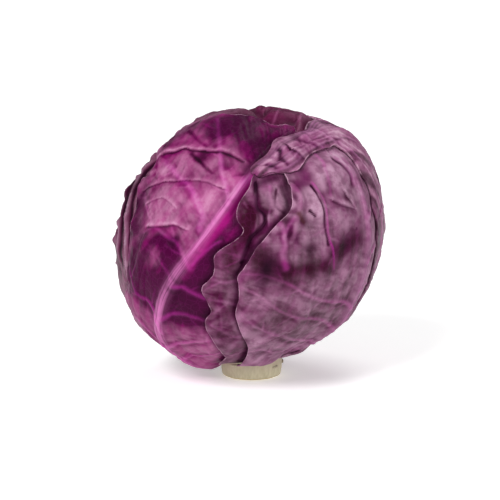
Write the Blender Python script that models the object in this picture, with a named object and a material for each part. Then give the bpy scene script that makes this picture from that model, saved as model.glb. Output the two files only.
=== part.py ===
"""A whole red cabbage head, standing on its cut stalk.

Eight outer leaves wrap a dense inner head. Each leaf is a thin shell laid over whatever
lies below it, with a thick midrib, side veins raised on its outer face and a waved edge
that stands off the head.

Places on the head are directions from its middle: azimuth 0 faces -Y and grows towards
+X, and elevation is above the horizon. A place on a leaf is a share of the way along its
midrib and an angle to the side of that, which is negative on the left. Its row is the
share at which the side vein through that place leaves the midrib.
"""

import math
from dataclasses import dataclass

import bmesh
import bpy
import numpy as np
from mathutils import Vector
from mathutils.bvhtree import BVHTree

MM = 0.001
SHARP_EDGE = math.radians(50)

# The inner head, and the height of its middle over the surface that the head stands on. It
# is flatter by a share under, from where its directions dip by more than that sine.
HEAD_CENTRE_Z = 84.5 * MM
HEART_RADII = np.array((80.5, 72.0, 70.5)) * MM
HEART_LEAN = math.radians(42)
HEART_UNDER = 0.07
HEART_UNDER_FROM = 0.5
HEART_RINGS = 22
HEART_SIDES = 36
SOCKET_Z = 17.5 * MM

# The stalk as (radius, height) in mm, from its cut face to its top in the head's socket.
STALK_PROFILE = ((17.4, 0.0), (18.2, 0.8), (18.8, 4.0), (19.0, 9.0), (18.8, 13.0), (18.2, 17.0))
STALK_SIDES = 40
STALK_FLUTES = 10
STALK_FLUTE = 0.3 * MM

# The leaves' blades, midribs and side veins. A midrib narrows and sinks towards its tip
# with those powers of the row.
MEAN_RADIUS = 80.0 * MM
BLADE = 1.0 * MM
LEAF_ROUGHNESS = 0.42
BASE_RIB_HALF = 9.0 * MM
TIP_RIB_HALF = 2.2 * MM
BASE_RIB_RISE = 3.4 * MM
TIP_RIB_RISE = 0.4 * MM
RIB_NARROWS = 0.7
RIB_SINKS = 0.8
VEIN_RISE = 0.7 * MM
RIB_STATIONS = 61

# How the leaves lie on each other: the gap between two, how far in from its edge a leaf
# starts to lift, and how far round a leaf the next ones stay raised by it. A leaf that
# another covers is pressed flatter by a share, from a little inside the other's edge.
GAP = 0.6 * MM
EDGE_BAND = 16.0 * MM
OVERHANG = 5.0 * MM
FADE = 14.0 * MM
WAVE_VEINS = 2.0
SCALLOP_VEINS = 1.5
TIP_ROUND = 0.9
TIP_ROUND_POWER = 10
PRESSED = 0.6
PRESS_BAND = 6.0 * MM

# How the leaves' bases bend round the stalk: by an angle in radians that grows with the
# square of the angle from the midrib, up to a most, and up to a share of the midrib.
CLASP = 1.25
CLASP_MOST = 0.22
CLASP_END = 0.3

# The leaves' meshes, and the steps in which each is raised clear of what it lies on.
ROWS_PER_VEIN = 3
RIB_COLUMNS = 2
SIDE_COLUMNS = 6
CLEARANCE = 0.5 * MM
CLEAR_SPACING = 7
CLEAR_ROUNDS = 12
FAR = 150.0 * MM
SAME_POINT = 0.01 * MM


@dataclass(frozen=True)
class Leaf:
    """One outer leaf. Its angles are in degrees.

    left and right are the blade's half-widths at even steps of its rows, from its base to
    its tip, and scallop is how far its outline waves about them. lift is how far its edge
    stands off what it lies on, and wave how much more than that it does in places.
    """

    name: str
    midrib: tuple
    left: tuple
    right: tuple
    veins: int
    sweep: float
    scallop: float
    lift: float
    wave: float
    colour: tuple


# From the innermost to the outermost.
LEAVES = (
    Leaf(
        name="leaf_back_right",
        midrib=((158, -73.5), (160, -48), (163, -15), (166, 25), (170, 60), (100, 86), (10, 66)),
        left=(20, 36, 50, 56, 54, 46, 36, 24),
        right=(20, 36, 50, 54, 52, 44, 36, 24),
        veins=9, sweep=0.35, scallop=1.5, lift=1.6 * MM, wave=1.4 * MM, colour=(0.14, 0.03, 0.11),
    ),
    Leaf(
        name="leaf_back_left",
        midrib=((-150, -73.5), (-149, -48), (-147, -15), (-145, 20), (-145, 50), (-150, 72)),
        left=(20, 36, 50, 54, 52, 46, 34, 22),
        right=(20, 38, 54, 62, 60, 50, 36, 22),
        veins=8, sweep=0.45, scallop=1.8, lift=2.0 * MM, wave=2.0 * MM, colour=(0.20, 0.06, 0.15),
    ),
    Leaf(
        name="leaf_left_inner",
        midrib=((-72, -73.5), (-66, -50), (-59, -24), (-51, 2), (-42, 27), (-31, 50), (0, 70)),
        left=(20, 28, 33, 38, 44, 41, 36, 26),
        right=(20, 28, 34, 36, 34, 28, 22, 16),
        veins=8, sweep=0.40, scallop=1.5, lift=1.8 * MM, wave=1.6 * MM, colour=(0.16, 0.03, 0.12),
    ),
    Leaf(
        name="leaf_left_outer",
        midrib=((-82, -73.5), (-75, -50), (-65, -25), (-53, 0), (-40, 24), (-24, 47), (8, 66)),
        left=(20, 27, 30, 32, 34, 34, 31, 24),
        right=(20, 26, 32, 34, 32, 26, 20, 16),
        veins=8, sweep=0.40, scallop=1.2, lift=1.4 * MM, wave=1.2 * MM, colour=(0.18, 0.05, 0.13),
    ),
    Leaf(
        name="leaf_front_left",
        midrib=((-66, -73.5), (-58, -52), (-49, -34), (-38, -15), (-21, 8), (-8, 28), (8, 47), (40, 60)),
        left=(20, 24, 26, 29, 43, 48, 38, 18, 8),
        right=(20, 34, 46, 48, 46, 42, 34, 22, 10),
        veins=8, sweep=0.50, scallop=0.6, lift=1.2 * MM, wave=1.0 * MM, colour=(0.42, 0.07, 0.30),
    ),
    Leaf(
        name="leaf_front_middle",
        midrib=((20, -73.5), (22, -55), (24, -36), (25, -16), (24, 4), (21, 23), (14, 41)),
        left=(18, 24, 38, 43, 41, 28, 22, 18),
        right=(20, 32, 36, 38, 36, 30, 22, 12),
        veins=8, sweep=0.35, scallop=1.8, lift=1.4 * MM, wave=1.6 * MM, colour=(0.30, 0.10, 0.24),
    ),
    Leaf(
        name="leaf_front_right",
        midrib=((56, -73.5), (57, -52), (58, -31), (59, -9), (60, 13), (60, 32), (60, 50)),
        left=(20, 34, 58, 62, 55, 38, 33, 16),
        right=(20, 34, 44, 46, 44, 40, 34, 22),
        veins=9, sweep=0.40, scallop=1.0, lift=1.8 * MM, wave=2.4 * MM, colour=(0.30, 0.10, 0.24),
    ),
    Leaf(
        name="leaf_right_top",
        midrib=(
            (98, -73.5), (101, -48), (104, -20), (105, 8), (100, 34),
            (80, 52), (50, 54.5), (22, 48), (-1, 37),
        ),
        left=(18, 22, 28, 33, 35, 34, 29, 19, 8, 10, 11),
        right=(18, 34, 44, 47, 46, 42, 33, 18, 6, 6, 8),
        veins=12, sweep=0.15, scallop=1.0, lift=1.6 * MM, wave=1.6 * MM, colour=(0.24, 0.08, 0.19),
    ),
)


def direction(azimuth, elevation):
    """The unit vector towards an azimuth and an elevation, both in degrees."""
    az, el = math.radians(azimuth), math.radians(elevation)
    return np.array((math.sin(az) * math.cos(el), -math.cos(az) * math.cos(el), math.sin(el)))


def unit(vectors):
    """The vectors, each made one long."""
    return vectors / np.linalg.norm(vectors, axis=-1, keepdims=True)


def smooth(x):
    """A smooth step from 0 to 1."""
    x = np.clip(x, 0, 1)
    return x * x * (3 - 2 * x)


def through(points, at):
    """A smooth curve through evenly spaced points, read at shares of its length."""
    points = np.asarray(points, float)
    ends = np.concatenate([[2 * points[0] - points[1]], points, [2 * points[-1] - points[-2]]])
    place = np.clip(np.asarray(at, float), 0, 1) * (len(points) - 1)
    first = np.minimum(place.astype(int), len(points) - 2)
    t = place - first
    if points.ndim > 1:
        t = t[..., None]
    a, b, c, d = (ends[first + i] for i in range(4))
    return b + 0.5 * t * (c - a + t * (2 * a - 5 * b + 4 * c - d + t * (3 * (b - c) + d - a)))


class Rib:
    """A leaf's midrib, as a line over the unit sphere."""

    def __init__(self, midrib):
        line = unit(through([direction(*at) for at in midrib], np.linspace(0, 1, 20 * RIB_STATIONS)))
        steps = np.arccos(np.clip((line[1:] * line[:-1]).sum(1), -1, 1))
        along = np.concatenate([[0], np.cumsum(steps)])
        self.length = along[-1]
        self.stations = np.linspace(0, 1, RIB_STATIONS)
        even = [np.interp(self.stations * self.length, along, line[:, i]) for i in range(3)]
        self.centre = unit(np.stack(even, 1))
        ahead = np.gradient(self.centre, axis=0)
        ahead -= (ahead * self.centre).sum(1, keepdims=True) * self.centre
        self.ahead = unit(ahead)

    def frame(self, share):
        """The midrib's place at a share of its length, and the ways ahead and to the right."""
        inside = np.clip(share, 0, 1)
        centre = unit(np.stack([np.interp(inside, self.stations, c) for c in self.centre.T], -1))
        ahead = np.stack([np.interp(inside, self.stations, c) for c in self.ahead.T], -1)
        ahead = unit(ahead - (ahead * centre).sum(-1, keepdims=True) * centre)
        past = ((share - inside) * self.length)[..., None]
        centre, ahead = (
            np.cos(past) * centre + np.sin(past) * ahead,
            np.cos(past) * ahead - np.sin(past) * centre,
        )
        return centre, ahead, np.cross(ahead, centre)

    def out(self, share, angle):
        """The direction at a share of the midrib and an angle, in radians, to its right."""
        centre, _, right = self.frame(share)
        angle = angle[..., None]
        return np.cos(angle) * centre + np.sin(angle) * right

    def back(self, directions):
        """The share of the midrib and the angle to its right at which directions lie."""
        forward = directions @ self.ahead.T
        facing = directions @ self.centre.T
        crossing = (forward[:, :-1] >= 0) & (forward[:, 1:] < 0)
        scored = np.where(crossing, facing[:, :-1], -2.0)
        k = scored.argmax(1)
        each = np.arange(len(k))
        here, there = forward[each, k], forward[each, k + 1]
        part = np.clip(here / np.maximum(here - there, 1e-12), 0, 1)
        share = self.stations[k] + part / (RIB_STATIONS - 1)
        past_tip = 1 + np.arctan2(forward[:, -1], facing[:, -1]) / self.length
        before_base = np.arctan2(forward[:, 0], facing[:, 0]) / self.length
        beyond = np.where(facing[:, -1] > facing[:, 0], past_tip, before_base)
        share = np.where(crossing.any(1), share, beyond)
        centre, _, right = self.frame(share)
        angle = np.arctan2((directions * right).sum(1), (directions * centre).sum(1))
        return share, angle


class Shell:
    """The form of one leaf over what lies below it."""

    def __init__(self, leaf):
        self.leaf = leaf
        self.rib = Rib(leaf.midrib)
        self.reach = self.rib.length * MEAN_RADIUS

    def waves(self, row, angle, veins_each):
        """Waves from -1 to 1 along the edge on that angle's side of the midrib."""
        return np.sin(2 * math.pi * row * self.leaf.veins / veins_each + np.sign(angle))

    def half_width(self, row, angle):
        """The blade's half-width in radians, on that angle's side of the midrib."""
        width = np.where(angle < 0, through(self.leaf.left, row), through(self.leaf.right, row))
        width = width + self.leaf.scallop * self.waves(row, angle, SCALLOP_VEINS)
        return np.radians(width) * np.sqrt(1 - TIP_ROUND * np.clip(row, 0, 1) ** TIP_ROUND_POWER)

    def share_of(self, row, angle):
        """How far along the midrib a row has got at an angle from it.

        Rows sweep forward towards the tip, and those by the base bend back round the stalk.
        """
        share = row + self.leaf.sweep * np.abs(angle) * row**2
        clasp = np.minimum(CLASP * angle**2, CLASP_MOST) / self.rib.length
        return np.where(share < CLASP_END, (share - clasp) / (1 - clasp / CLASP_END), share)

    def row_of(self, share, angle):
        """The row at a place: share_of the other way round."""
        clasp = np.minimum(CLASP * angle**2, CLASP_MOST) / self.rib.length
        share = np.where(share < CLASP_END, share + clasp * (1 - share / CLASP_END), share)
        root = np.sqrt(np.maximum(1 + 4 * self.leaf.sweep * np.abs(angle) * share, 0))
        return 2 * share / (1 + root)

    def rib_half(self, row):
        """Half the midrib's width, as an angle at the head's middle."""
        width = BASE_RIB_HALF + (TIP_RIB_HALF - BASE_RIB_HALF) * np.clip(row, 0, 1) ** RIB_NARROWS
        return width / MEAN_RADIUS

    def outside(self, row, angle):
        """How far outside the leaf's outline a place is. Inside, this is negative."""
        beside = (np.abs(angle) - self.half_width(row, angle)) * MEAN_RADIUS
        return np.maximum(beside, np.maximum((row - 1) * self.reach, -row * self.reach))

    def faces(self, row, angle, bed, bare):
        """The radii of the leaf's inner and outer faces over a surface of radius bed.

        bare is 1 where no other leaf lies over this one, and 0 where one presses it flat.
        """
        leaf = self.leaf
        inland = smooth(-self.outside(row, angle) / EDGE_BAND)
        waves = 0.5 + 0.5 * self.waves(row, angle, WAVE_VEINS)
        lift = bare * smooth(row / CLASP_END) * (1 - inland) * (leaf.lift + leaf.wave * waves)
        across = np.clip(np.abs(angle) / self.rib_half(row), 0, 1)
        rise = BASE_RIB_RISE + (TIP_RIB_RISE - BASE_RIB_RISE) * np.clip(row, 0, 1) ** RIB_SINKS
        midrib = rise * np.sqrt(1 - across**2)
        nearness = np.abs((row * leaf.veins) % 1 - 0.5) * 2
        vein = VEIN_RISE * nearness**2 * across * inland * smooth(row * leaf.veins)
        inner = bed + GAP + lift
        return inner, inner + BLADE + (midrib + vein) * (1 - PRESSED * (1 - bare))

    def grid(self):
        """The rows and angles of the mesh: a row on each side vein and some between each two."""
        row = np.linspace(0, 1, ROWS_PER_VEIN * self.leaf.veins + 1)
        rib = self.rib_half(row)[:, None]
        over = np.linspace(-1, 1, 2 * RIB_COLUMNS + 1) * rib
        steps = np.linspace(0, 1, SIDE_COLUMNS + 1)[1:]
        left, right = (self.half_width(row, side * np.ones_like(row))[:, None] for side in (-1, 1))
        angle = np.concatenate([-(rib + (left - rib) * steps)[:, ::-1], over, rib + (right - rib) * steps], 1)
        return np.repeat(row[:, None], angle.shape[1], 1), angle


def heart_radius(directions):
    """How far the inner head reaches: its long axis leans up from +X, and it is flatter below."""
    x, y, z = directions.T
    long = x * math.cos(HEART_LEAN) + z * math.sin(HEART_LEAN)
    across = z * math.cos(HEART_LEAN) - x * math.sin(HEART_LEAN)
    radius = 1 / np.linalg.norm(np.stack((long, y, across), -1) / HEART_RADII, axis=-1)
    return radius * (1 - HEART_UNDER * smooth((-z - HEART_UNDER_FROM) / (1 - HEART_UNDER_FROM)))


def bed_and_bare(directions, shells, index):
    """What a leaf lies on: the radius of the head inside it, and how bare the leaf is there."""
    places = []
    for shell in shells:
        share, angle = shell.rib.back(directions)
        row = shell.row_of(share, angle)
        places.append((shell, row, angle, shell.outside(row, angle)))
    bare = [np.ones(len(directions))]
    for *_, outside in reversed(places[1:]):
        bare.insert(0, np.minimum(bare[0], 1 - smooth(0.5 - outside / PRESS_BAND)))
    radius = heart_radius(directions)
    for (shell, row, angle, outside), bare_here in zip(places[:index], bare):
        outer = shell.faces(row, angle, radius, bare_here)[1]
        radius = radius + (1 - smooth((outside - OVERHANG) / FADE)) * (outer - radius)
    return radius, bare[index]


def place(directions, radii):
    """Points at those radii from the head's middle."""
    return directions * radii[..., None] + np.array((0, 0, HEAD_CENTRE_Z))


def reach_of(tree, directions):
    """How far from the head's middle the faces in the tree reach in those directions."""
    middle = Vector((0, 0, HEAD_CENTRE_Z))
    reach = np.zeros(len(directions))
    for i, way in enumerate(directions):
        way = Vector(way)
        hit = tree.ray_cast(middle + way * FAR, -way)[0]
        if hit:
            reach[i] = (hit - middle).length
    return reach


def raised_clear(directions, radii, triangles, tree):
    """The radii, raised until every flat triangle between them clears the faces in the tree."""
    n = CLEAR_SPACING
    shares = np.array([(i, j, n - i - j) for i in range(n + 1) for j in range(n + 1 - i)]) / n
    triangles = np.array(triangles)
    radii = radii.copy()
    for _ in range(CLEAR_ROUNDS):
        corners = (directions * radii[:, None])[triangles]
        spots = np.einsum("sk,tkx->tsx", shares, corners)
        have = np.linalg.norm(spots, axis=-1)
        need = reach_of(tree, (spots / have[..., None]).reshape(-1, 3)).reshape(have.shape) + CLEARANCE
        short = np.maximum(need - have, 0)[..., None] * shares / (shares**2).sum(-1, keepdims=True)
        more = np.zeros_like(radii)
        np.maximum.at(more, triangles.ravel(), short.max(1).ravel())
        radii += more
    return radii


def material(name, colour, roughness):
    """A plain coloured surface."""
    made = bpy.data.materials.new(name)
    made.use_nodes = True
    surface = made.node_tree.nodes["Principled BSDF"]
    surface.inputs["Base Color"].default_value = (*colour, 1)
    surface.inputs["Roughness"].default_value = roughness
    made.diffuse_color = (*colour, 1)
    return made


def finished(name, work, colour, roughness):
    """An object made of the bmesh, with its faces turned outwards and shaded smooth."""
    bmesh.ops.recalc_face_normals(work, faces=work.faces)
    mesh = bpy.data.meshes.new(name)
    work.to_mesh(mesh)
    work.free()
    mesh.shade_smooth()
    mesh.set_sharp_from_angle(angle=SHARP_EDGE)
    mesh.materials.append(material(name, colour, roughness))
    made = bpy.data.objects.new(name, mesh)
    bpy.context.scene.collection.objects.link(made)
    return made


def tree_of(objects):
    """The faces of all those objects, for casting rays at."""
    points, faces = [], []
    for made in objects:
        start = len(points)
        points += [v.co.copy() for v in made.data.vertices]
        faces += [[start + v for v in polygon.vertices] for polygon in made.data.polygons]
    return BVHTree.FromPolygons(points, faces)


def leaf_object(shells, index, lower_objects):
    """One outer leaf: its outer and inner faces, cut into like triangles, and its rim."""
    shell = shells[index]
    row, angle = shell.grid()
    rows, columns = angle.shape
    directions = shell.rib.out(shell.share_of(row, angle), angle).reshape(-1, 3)
    inner, outer = shell.faces(row.ravel(), angle.ravel(), *bed_and_bare(directions, shells, index))
    triangles = []
    for i in range(rows - 1):
        for j in range(columns - 1):
            a = i * columns + j
            triangles += [(a, a + 1, a + columns + 1), (a, a + columns + 1, a + columns)]
    raised = raised_clear(directions, inner, triangles, tree_of(lower_objects))
    outer += raised - inner

    work = bmesh.new()
    tops = [work.verts.new(point) for point in place(directions, outer)]
    bottoms = [work.verts.new(point) for point in place(directions, raised)]
    for a, b, c in triangles:
        work.faces.new((tops[a], tops[b], tops[c]))
        work.faces.new((bottoms[c], bottoms[b], bottoms[a]))
    last = (rows - 1) * columns
    rim = list(range(columns)) + [i * columns - 1 for i in range(2, rows + 1)]
    rim += list(range(last + columns - 2, last - 1, -1)) + [i * columns for i in range(rows - 2, 0, -1)]
    for a, b in zip(rim, rim[1:] + rim[:1]):
        work.faces.new((tops[b], tops[a], bottoms[a], bottoms[b]))
    return finished(shell.leaf.name, work, shell.leaf.colour, LEAF_ROUGHNESS)


def heart_object():
    """The dense inner head, cut flat below, where the stalk runs up into it."""
    work = bmesh.new()
    bmesh.ops.create_uvsphere(work, u_segments=HEART_SIDES, v_segments=HEART_RINGS, radius=1)
    for v in work.verts:
        v.co = place(np.array(v.co), heart_radius(np.array(v.co)))
        v.co.z = max(v.co.z, SOCKET_Z)
    bmesh.ops.dissolve_limit(work, angle_limit=0.001, verts=work.verts, edges=work.edges)
    return finished("inner_head", work, (0.11, 0.02, 0.09), 0.45)


def stalk_object():
    """The cut stalk: a turned stub with shallow flutes, flat on its cut face."""
    work = bmesh.new()
    verts = [work.verts.new((radius * MM, 0, height * MM)) for radius, height in STALK_PROFILE]
    edges = [work.edges.new(pair) for pair in zip(verts, verts[1:])]
    bmesh.ops.spin(
        work, geom=verts + edges, cent=(0, 0, 0), axis=(0, 0, 1), angle=2 * math.pi, steps=STALK_SIDES,
        use_merge=True,
    )
    bmesh.ops.remove_doubles(work, verts=work.verts, dist=SAME_POINT)
    bmesh.ops.holes_fill(work, edges=work.edges)
    for v in work.verts:
        turn = math.atan2(v.co.y, v.co.x)
        inwards = 1 - STALK_FLUTE / v.co.xy.length * (0.5 + 0.5 * math.cos(STALK_FLUTES * turn))
        v.co.xy *= inwards
    return finished("stalk", work, (0.80, 0.74, 0.52), 0.6)


def main():
    """Build the inner head and the stalk, then wrap the leaves over them from inside out."""
    for old in list(bpy.data.objects):
        bpy.data.objects.remove(old)
    objects = [heart_object(), stalk_object()]
    shells = [Shell(leaf) for leaf in LEAVES]
    for index in range(len(shells)):
        objects.append(leaf_object(shells, index, objects))


main()
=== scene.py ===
"""The looks of a red cabbage head: fine leaves with ribs, veins and wax bloom, and a cut stalk.

Places on the head are directions from its middle: azimuth 0 faces -Y and grows towards +X, and
elevation is above the horizon, both in degrees. A place on a leaf is a share of the way along
its midrib and an angle to the side of that, which is negative on the left. Its row is the share
at which the side vein through that place leaves the midrib. Lengths are in millimetres, except
in meshes, which are in metres.
"""

import logging
import math
from collections.abc import Sequence
from dataclasses import dataclass
from enum import Enum

import bmesh
import bpy
import numpy as np
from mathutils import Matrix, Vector
from mathutils.bvhtree import BVHTree


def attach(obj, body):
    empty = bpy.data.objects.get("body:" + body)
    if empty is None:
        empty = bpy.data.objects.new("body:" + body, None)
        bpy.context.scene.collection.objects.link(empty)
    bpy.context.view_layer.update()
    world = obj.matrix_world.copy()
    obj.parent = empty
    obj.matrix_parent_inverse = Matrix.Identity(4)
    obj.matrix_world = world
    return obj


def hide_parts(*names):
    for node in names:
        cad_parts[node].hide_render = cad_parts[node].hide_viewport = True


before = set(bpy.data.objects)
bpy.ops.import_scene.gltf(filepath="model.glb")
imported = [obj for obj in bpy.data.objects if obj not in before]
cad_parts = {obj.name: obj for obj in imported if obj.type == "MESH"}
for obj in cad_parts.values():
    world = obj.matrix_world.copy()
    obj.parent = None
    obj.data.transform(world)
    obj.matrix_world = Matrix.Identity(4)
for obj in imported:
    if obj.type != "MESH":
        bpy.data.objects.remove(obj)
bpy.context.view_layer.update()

Array = np.ndarray
Place = tuple[float, float]

MM = 0.001
LOG = logging.getLogger("red_cabbage")

# The inner head: the height of its middle over the surface that the head stands on, its
# half-sizes and their lean, how much flatter it is below and from where, and where it is cut.
HEAD_CENTRE_Z = 84.5
HEART_RADII = np.array((80.5, 72.0, 70.5))
HEART_LEAN = math.radians(42)
HEART_UNDER = 0.07
HEART_UNDER_FROM = 0.5
SOCKET_Z = 17.5

# How the leaves lie on each other, about a sphere of the head's mean radius: the gap below a
# leaf, the band in which its edge lifts, how far past its outline it is felt and over what that
# fades, in how many steps it and its outline wave, how round its tip is, how much flatter the
# midrib is under another leaf, with the band for that, and how its base clasps the stalk.
MEAN_RADIUS = 80.0
GAP = 0.6
EDGE_BAND = 16.0
OVERHANG = 5.0
FADE = 14.0
WAVE_VEINS = 2.0
SCALLOP_VEINS = 1.5
TIP_ROUND = 0.9
TIP_ROUND_POWER = 10
PRESSED = 0.6
PRESS_BAND = 6.0
CLASP = 1.25
CLASP_MOST = 0.22
CLASP_END = 0.3

# The leaves' midribs: half the width and the height, in millimetres, at the base and at the tip,
# the powers with which they shrink, and how finely a midrib is divided.
BASE_RIB_HALF = 9.0
TIP_RIB_HALF = 2.2
BASE_RIB_RISE = 3.4
TIP_RIB_RISE = 0.4
RIB_NARROWS = 0.7
RIB_SINKS = 0.8
RIB_STATIONS = 61
RIB_FINE = 20

# The leaves' blades: how thick one is inland and at its rim, the band it thickens over, the row
# from which its tip is pressed flat, the gap below a rim past which it isn't closed, how far it
# keeps off what it lies on, and a distance that is outside the head.
BLADE = 1.0
RIM_BLADE = 0.5
RIM_BAND = 7.0
TIP_FROM = 0.7
OPEN = 3.0
CLEARANCE = 0.3
FAR = 150.0

# A blade's mesh: how far its columns crowd towards its edges, the sizes of the noise that frays
# its outline, the powers that keep this to its edge and its tip, and how far its tip is blunted.
CROWDING = 0.4
FRAY_SIZES = (11, 4)
FRAY_EDGE = 8
FRAY_TIP = 24
BLUNT = 0.97
BLUNT_TIP = 14

# Its marks: into how many steps a course is divided from place to place, how far they wander off
# it, in noise of which sizes, how unevenly strong they are, in noise of which size, how far off
# one counts, in its widths and past them, and how much it narrows.
COURSE_STEPS = 4
WANDER = 0.8
WANDER_SIZES = (14, 5)
UNEVEN = 0.35
UNEVEN_SIZE = 7
MARK_WIDTHS = 5
MARK_PAST = 3
NARROWS = 0.6

# A lip, in widths of its mark: how far its high side slopes, and the middle and the width of
# the painted shadow under it and of the painted highlight, laid as wax, on it.
LIP_SLOPE = 4
LIP_SHADE = (0.7, 0.9)
LIP_HIGHLIGHT = (-1.3, 1.2)

# Side veins and long ones: where they start and end, how many corners they have, how far side
# veins curve forwards, how high, how close and how shifted their waves are, and how far off one
# counts as the nearest.
VEIN_END = 0.97
LONG_VEIN_START = 0.04
SIDE_VEIN_CORNERS = 14
LONG_VEIN_CORNERS = 50
VEIN_CURVE = 0.09
VEIN_WAVE = 0.012
VEIN_WAVES = 9
VEIN_SHIFT = 20
VEIN_FAR = 25.0

# Smaller veins: the ranges, as shares, of where the first one leaves, of its angle, its bend and
# its length, and of the room between two, where the last one can leave, and the steps of each.
BRANCH_FIRST = (0.5, 1.0)
BRANCH_TURN = (0.75, 1.1)
BRANCH_BEND = (-0.5, 0.1)
BRANCH_LENGTH = (0.7, 1.2)
BRANCH_ROOM = (0.7, 1.3)
BRANCH_LAST = 0.95
BRANCH_STEPS = 5

# A blade's relief: the width of a furrow by a vein, how high the pillows between them are, how
# unevenly and in noise of which size, how wrinkles grow, stretch, stray and repeat, how much of a
# ruffle is there at least, and how softly the sheet meets what it lies on.
VEIN_FURROW = 6
PILLOW = 0.7
PILLOW_UNEVEN = 0.5
PILLOW_SIZE = 20
WRINKLED = 3
WRINKLE_STRETCH = 0.3
WRINKLE_STRAY = 0.05
WRINKLE_SIZE = 4
RUFFLED = 0.35
SOFT_FLOOR = 0.09

# How much of the relief and of the veins is left where other leaves cover them, how far under
# those leaves it starts to grow and over which band, the rows over which the relief begins, and
# how flat tips are.
COVERED = 0.15
COVERED_VEINS = 0.2
FREE_FROM = 1
FREE_BAND = 9
FLAT_BASE = 0.08
TIP_FLAT = 0.8

# The bands inwards from the rim over which the pillows, the veins and the midrib come in, and in
# which the edge drapes and is closed below, with how far those two reach, in bands, how strictly
# only a draped edge is closed, and how deep a vein can sink.
INLAND = 10
VEIN_BAND = 5
RIB_BAND = 3
DRAPE_BAND = 25
DRAPE_FROM = 1.3
CLOSED_BAND = 1.5
CLOSED_FROM = 1.2
CLOSED_POWER = 4
DEEPEST = -0.3

# How many corners of the mesh away what a leaf lies on, and what lifts it, is felt.
FLOOR_REACH = 3
LIFT_REACH = 4

# Its colours: how deep a fold is that counts fully, what its crests add, and what its hollows
# take of the wax and add as painted shade, patches of flesh and wax, each with its strength and
# size, and the most wax or painted shade there is.
FOLD = 0.5
CREST_FLESH = 0.2
CREST_WAX = 0.25
HOLLOW_WAX = 0.3
HOLLOW_SHADE = 0.4
FLESH_PATCHES = (0.15, 18)
WAX_PATCHES = (0.5, 22)
MOST = 0.95

# How much further inland the rim's colour ends where it is lost in what is under it.
FUSED = 2

# How wide the pale midrib is, how much narrower off its middle, the band and the rows over which
# it fades, how bare it is, how far a bare mark and painted shade take the wax off, and how far from
# a leaf that lies over this one the painted shadow in the gap by it is, and how wide.
RIB_PALE = 0.75
RIB_NARROWER = 0.5
RIB_PALE_BAND = 4
RIB_FADES = (0.74, 0.12)
RIB_BARE = 0.4
MARK_BARE = 1.3
SHADE_BARE = 0.9
PAINTED_GAP_SHADOW = (1.2, 2.6)

# The first leaf's seeds, and shifts in the noise that make its readings for marks, wax and the
# three axes differ.
NOISE_SEED = 11
BRANCH_SEED = 50
SHIFT_MARKS = 30
SHIFT_WAX = 50
SHIFT_AXES = 60

# Sockets that go by number: a Mix node's for colours, and a Map Range node's.
SHARE, UNDER, OVER, MIXED = 0, 6, 7, 2
FROM_LOW, FROM_HIGH, TO_LOW, TO_HIGH = 1, 2, 3, 4


class Slot(Enum):
    """The record's material slots."""

    INNER = "inner_leaves"
    STALK = "cut_stalk"
    MAROON = "leaf_maroon"
    MAGENTA = "leaf_magenta"
    MAUVE = "leaf_mauve"


def linear(hexcode: str) -> tuple[float, float, float, float]:
    """Turn an sRGB colour into the linear one that Blender works in.

    Args:
        hexcode: The colour as six hex digits.

    Returns:
        The linear red, green and blue, and an alpha of 1.
    """
    parts = [int(hexcode[i : i + 2], 16) / 255 for i in (0, 2, 4)]
    return (*(p / 12.92 if p <= 0.04045 else ((p + 0.055) / 1.055) ** 2.4 for p in parts), 1.0)


def add_node(
    tree: bpy.types.NodeTree, kind: str, inputs: dict | None = None, output: str | int = 0, **settings
) -> bpy.types.NodeSocket | None:
    """Add a node with its settings and links.

    Args:
        tree: The tree to add it to.
        kind: The node's type.
        inputs: Its inputs by name or number, each a socket to link or a value to set.
        output: The output to return, by name or number.
        **settings: The node's own properties.

    Returns:
        That output, or None where the node has none.
    """
    node = tree.nodes.new(kind)
    for name, value in settings.items():
        setattr(node, name, value)
    for key, value in (inputs or {}).items():
        if isinstance(value, bpy.types.NodeSocket):
            tree.links.new(value, node.inputs[key])
        else:
            node.inputs[key].default_value = value
    return node.outputs[output] if len(node.outputs) else None


def new_material(name: str) -> tuple[bpy.types.Material, bpy.types.NodeTree]:
    """Make an empty material.

    Args:
        name: Its name.

    Returns:
        The material and its node tree.
    """
    made = bpy.data.materials.new(name)
    made.use_nodes = True
    made.node_tree.nodes.clear()
    return made, made.node_tree


def cover(
    tree: bpy.types.NodeTree, colour: tuple[float, float, float, float],
    layers: Sequence[tuple[bpy.types.NodeSocket, str]],
) -> bpy.types.NodeSocket:
    """Lay colours over each other.

    Args:
        tree: The material's node tree.
        colour: The lowest colour, linear.
        layers: For each further one, how much of it there is and its sRGB colour.

    Returns:
        The colour that shows.
    """
    for amount, hexcode in layers:
        inputs = {SHARE: amount, UNDER: colour, OVER: linear(hexcode)}
        colour = add_node(tree, "ShaderNodeMix", inputs, MIXED, data_type="RGBA")
    return colour


def end_material(
    tree: bpy.types.NodeTree, colour: bpy.types.NodeSocket, rough: bpy.types.NodeSocket | float,
    relief: bpy.types.NodeSocket, depth: float, strength: float = 0.5, specular: float = 0.5,
) -> None:
    """End a material with its relief, its shader and its output.

    Args:
        tree: The material's node tree.
        colour: The surface's colour.
        rough: How rough it is.
        relief: The height of its relief, from 0 to 1.
        depth: How deep that relief is, in millimetres.
        strength: How much of it shows.
        specular: The shader's specular level.
    """
    bump = add_node(tree, "ShaderNodeBump", {"Height": relief, "Strength": strength, "Distance": depth * MM})
    inputs = {"Base Color": colour, "Roughness": rough, "Normal": bump, "Specular IOR Level": specular}
    skin = add_node(tree, "ShaderNodeBsdfPrincipled", inputs)
    add_node(tree, "ShaderNodeOutputMaterial", {"Surface": skin})


def direction(place: Place) -> Array:
    """The unit vector towards a place on the head."""
    az, el = math.radians(place[0]), math.radians(place[1])
    return np.array((math.sin(az) * math.cos(el), -math.cos(az) * math.cos(el), math.sin(el)))


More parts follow.
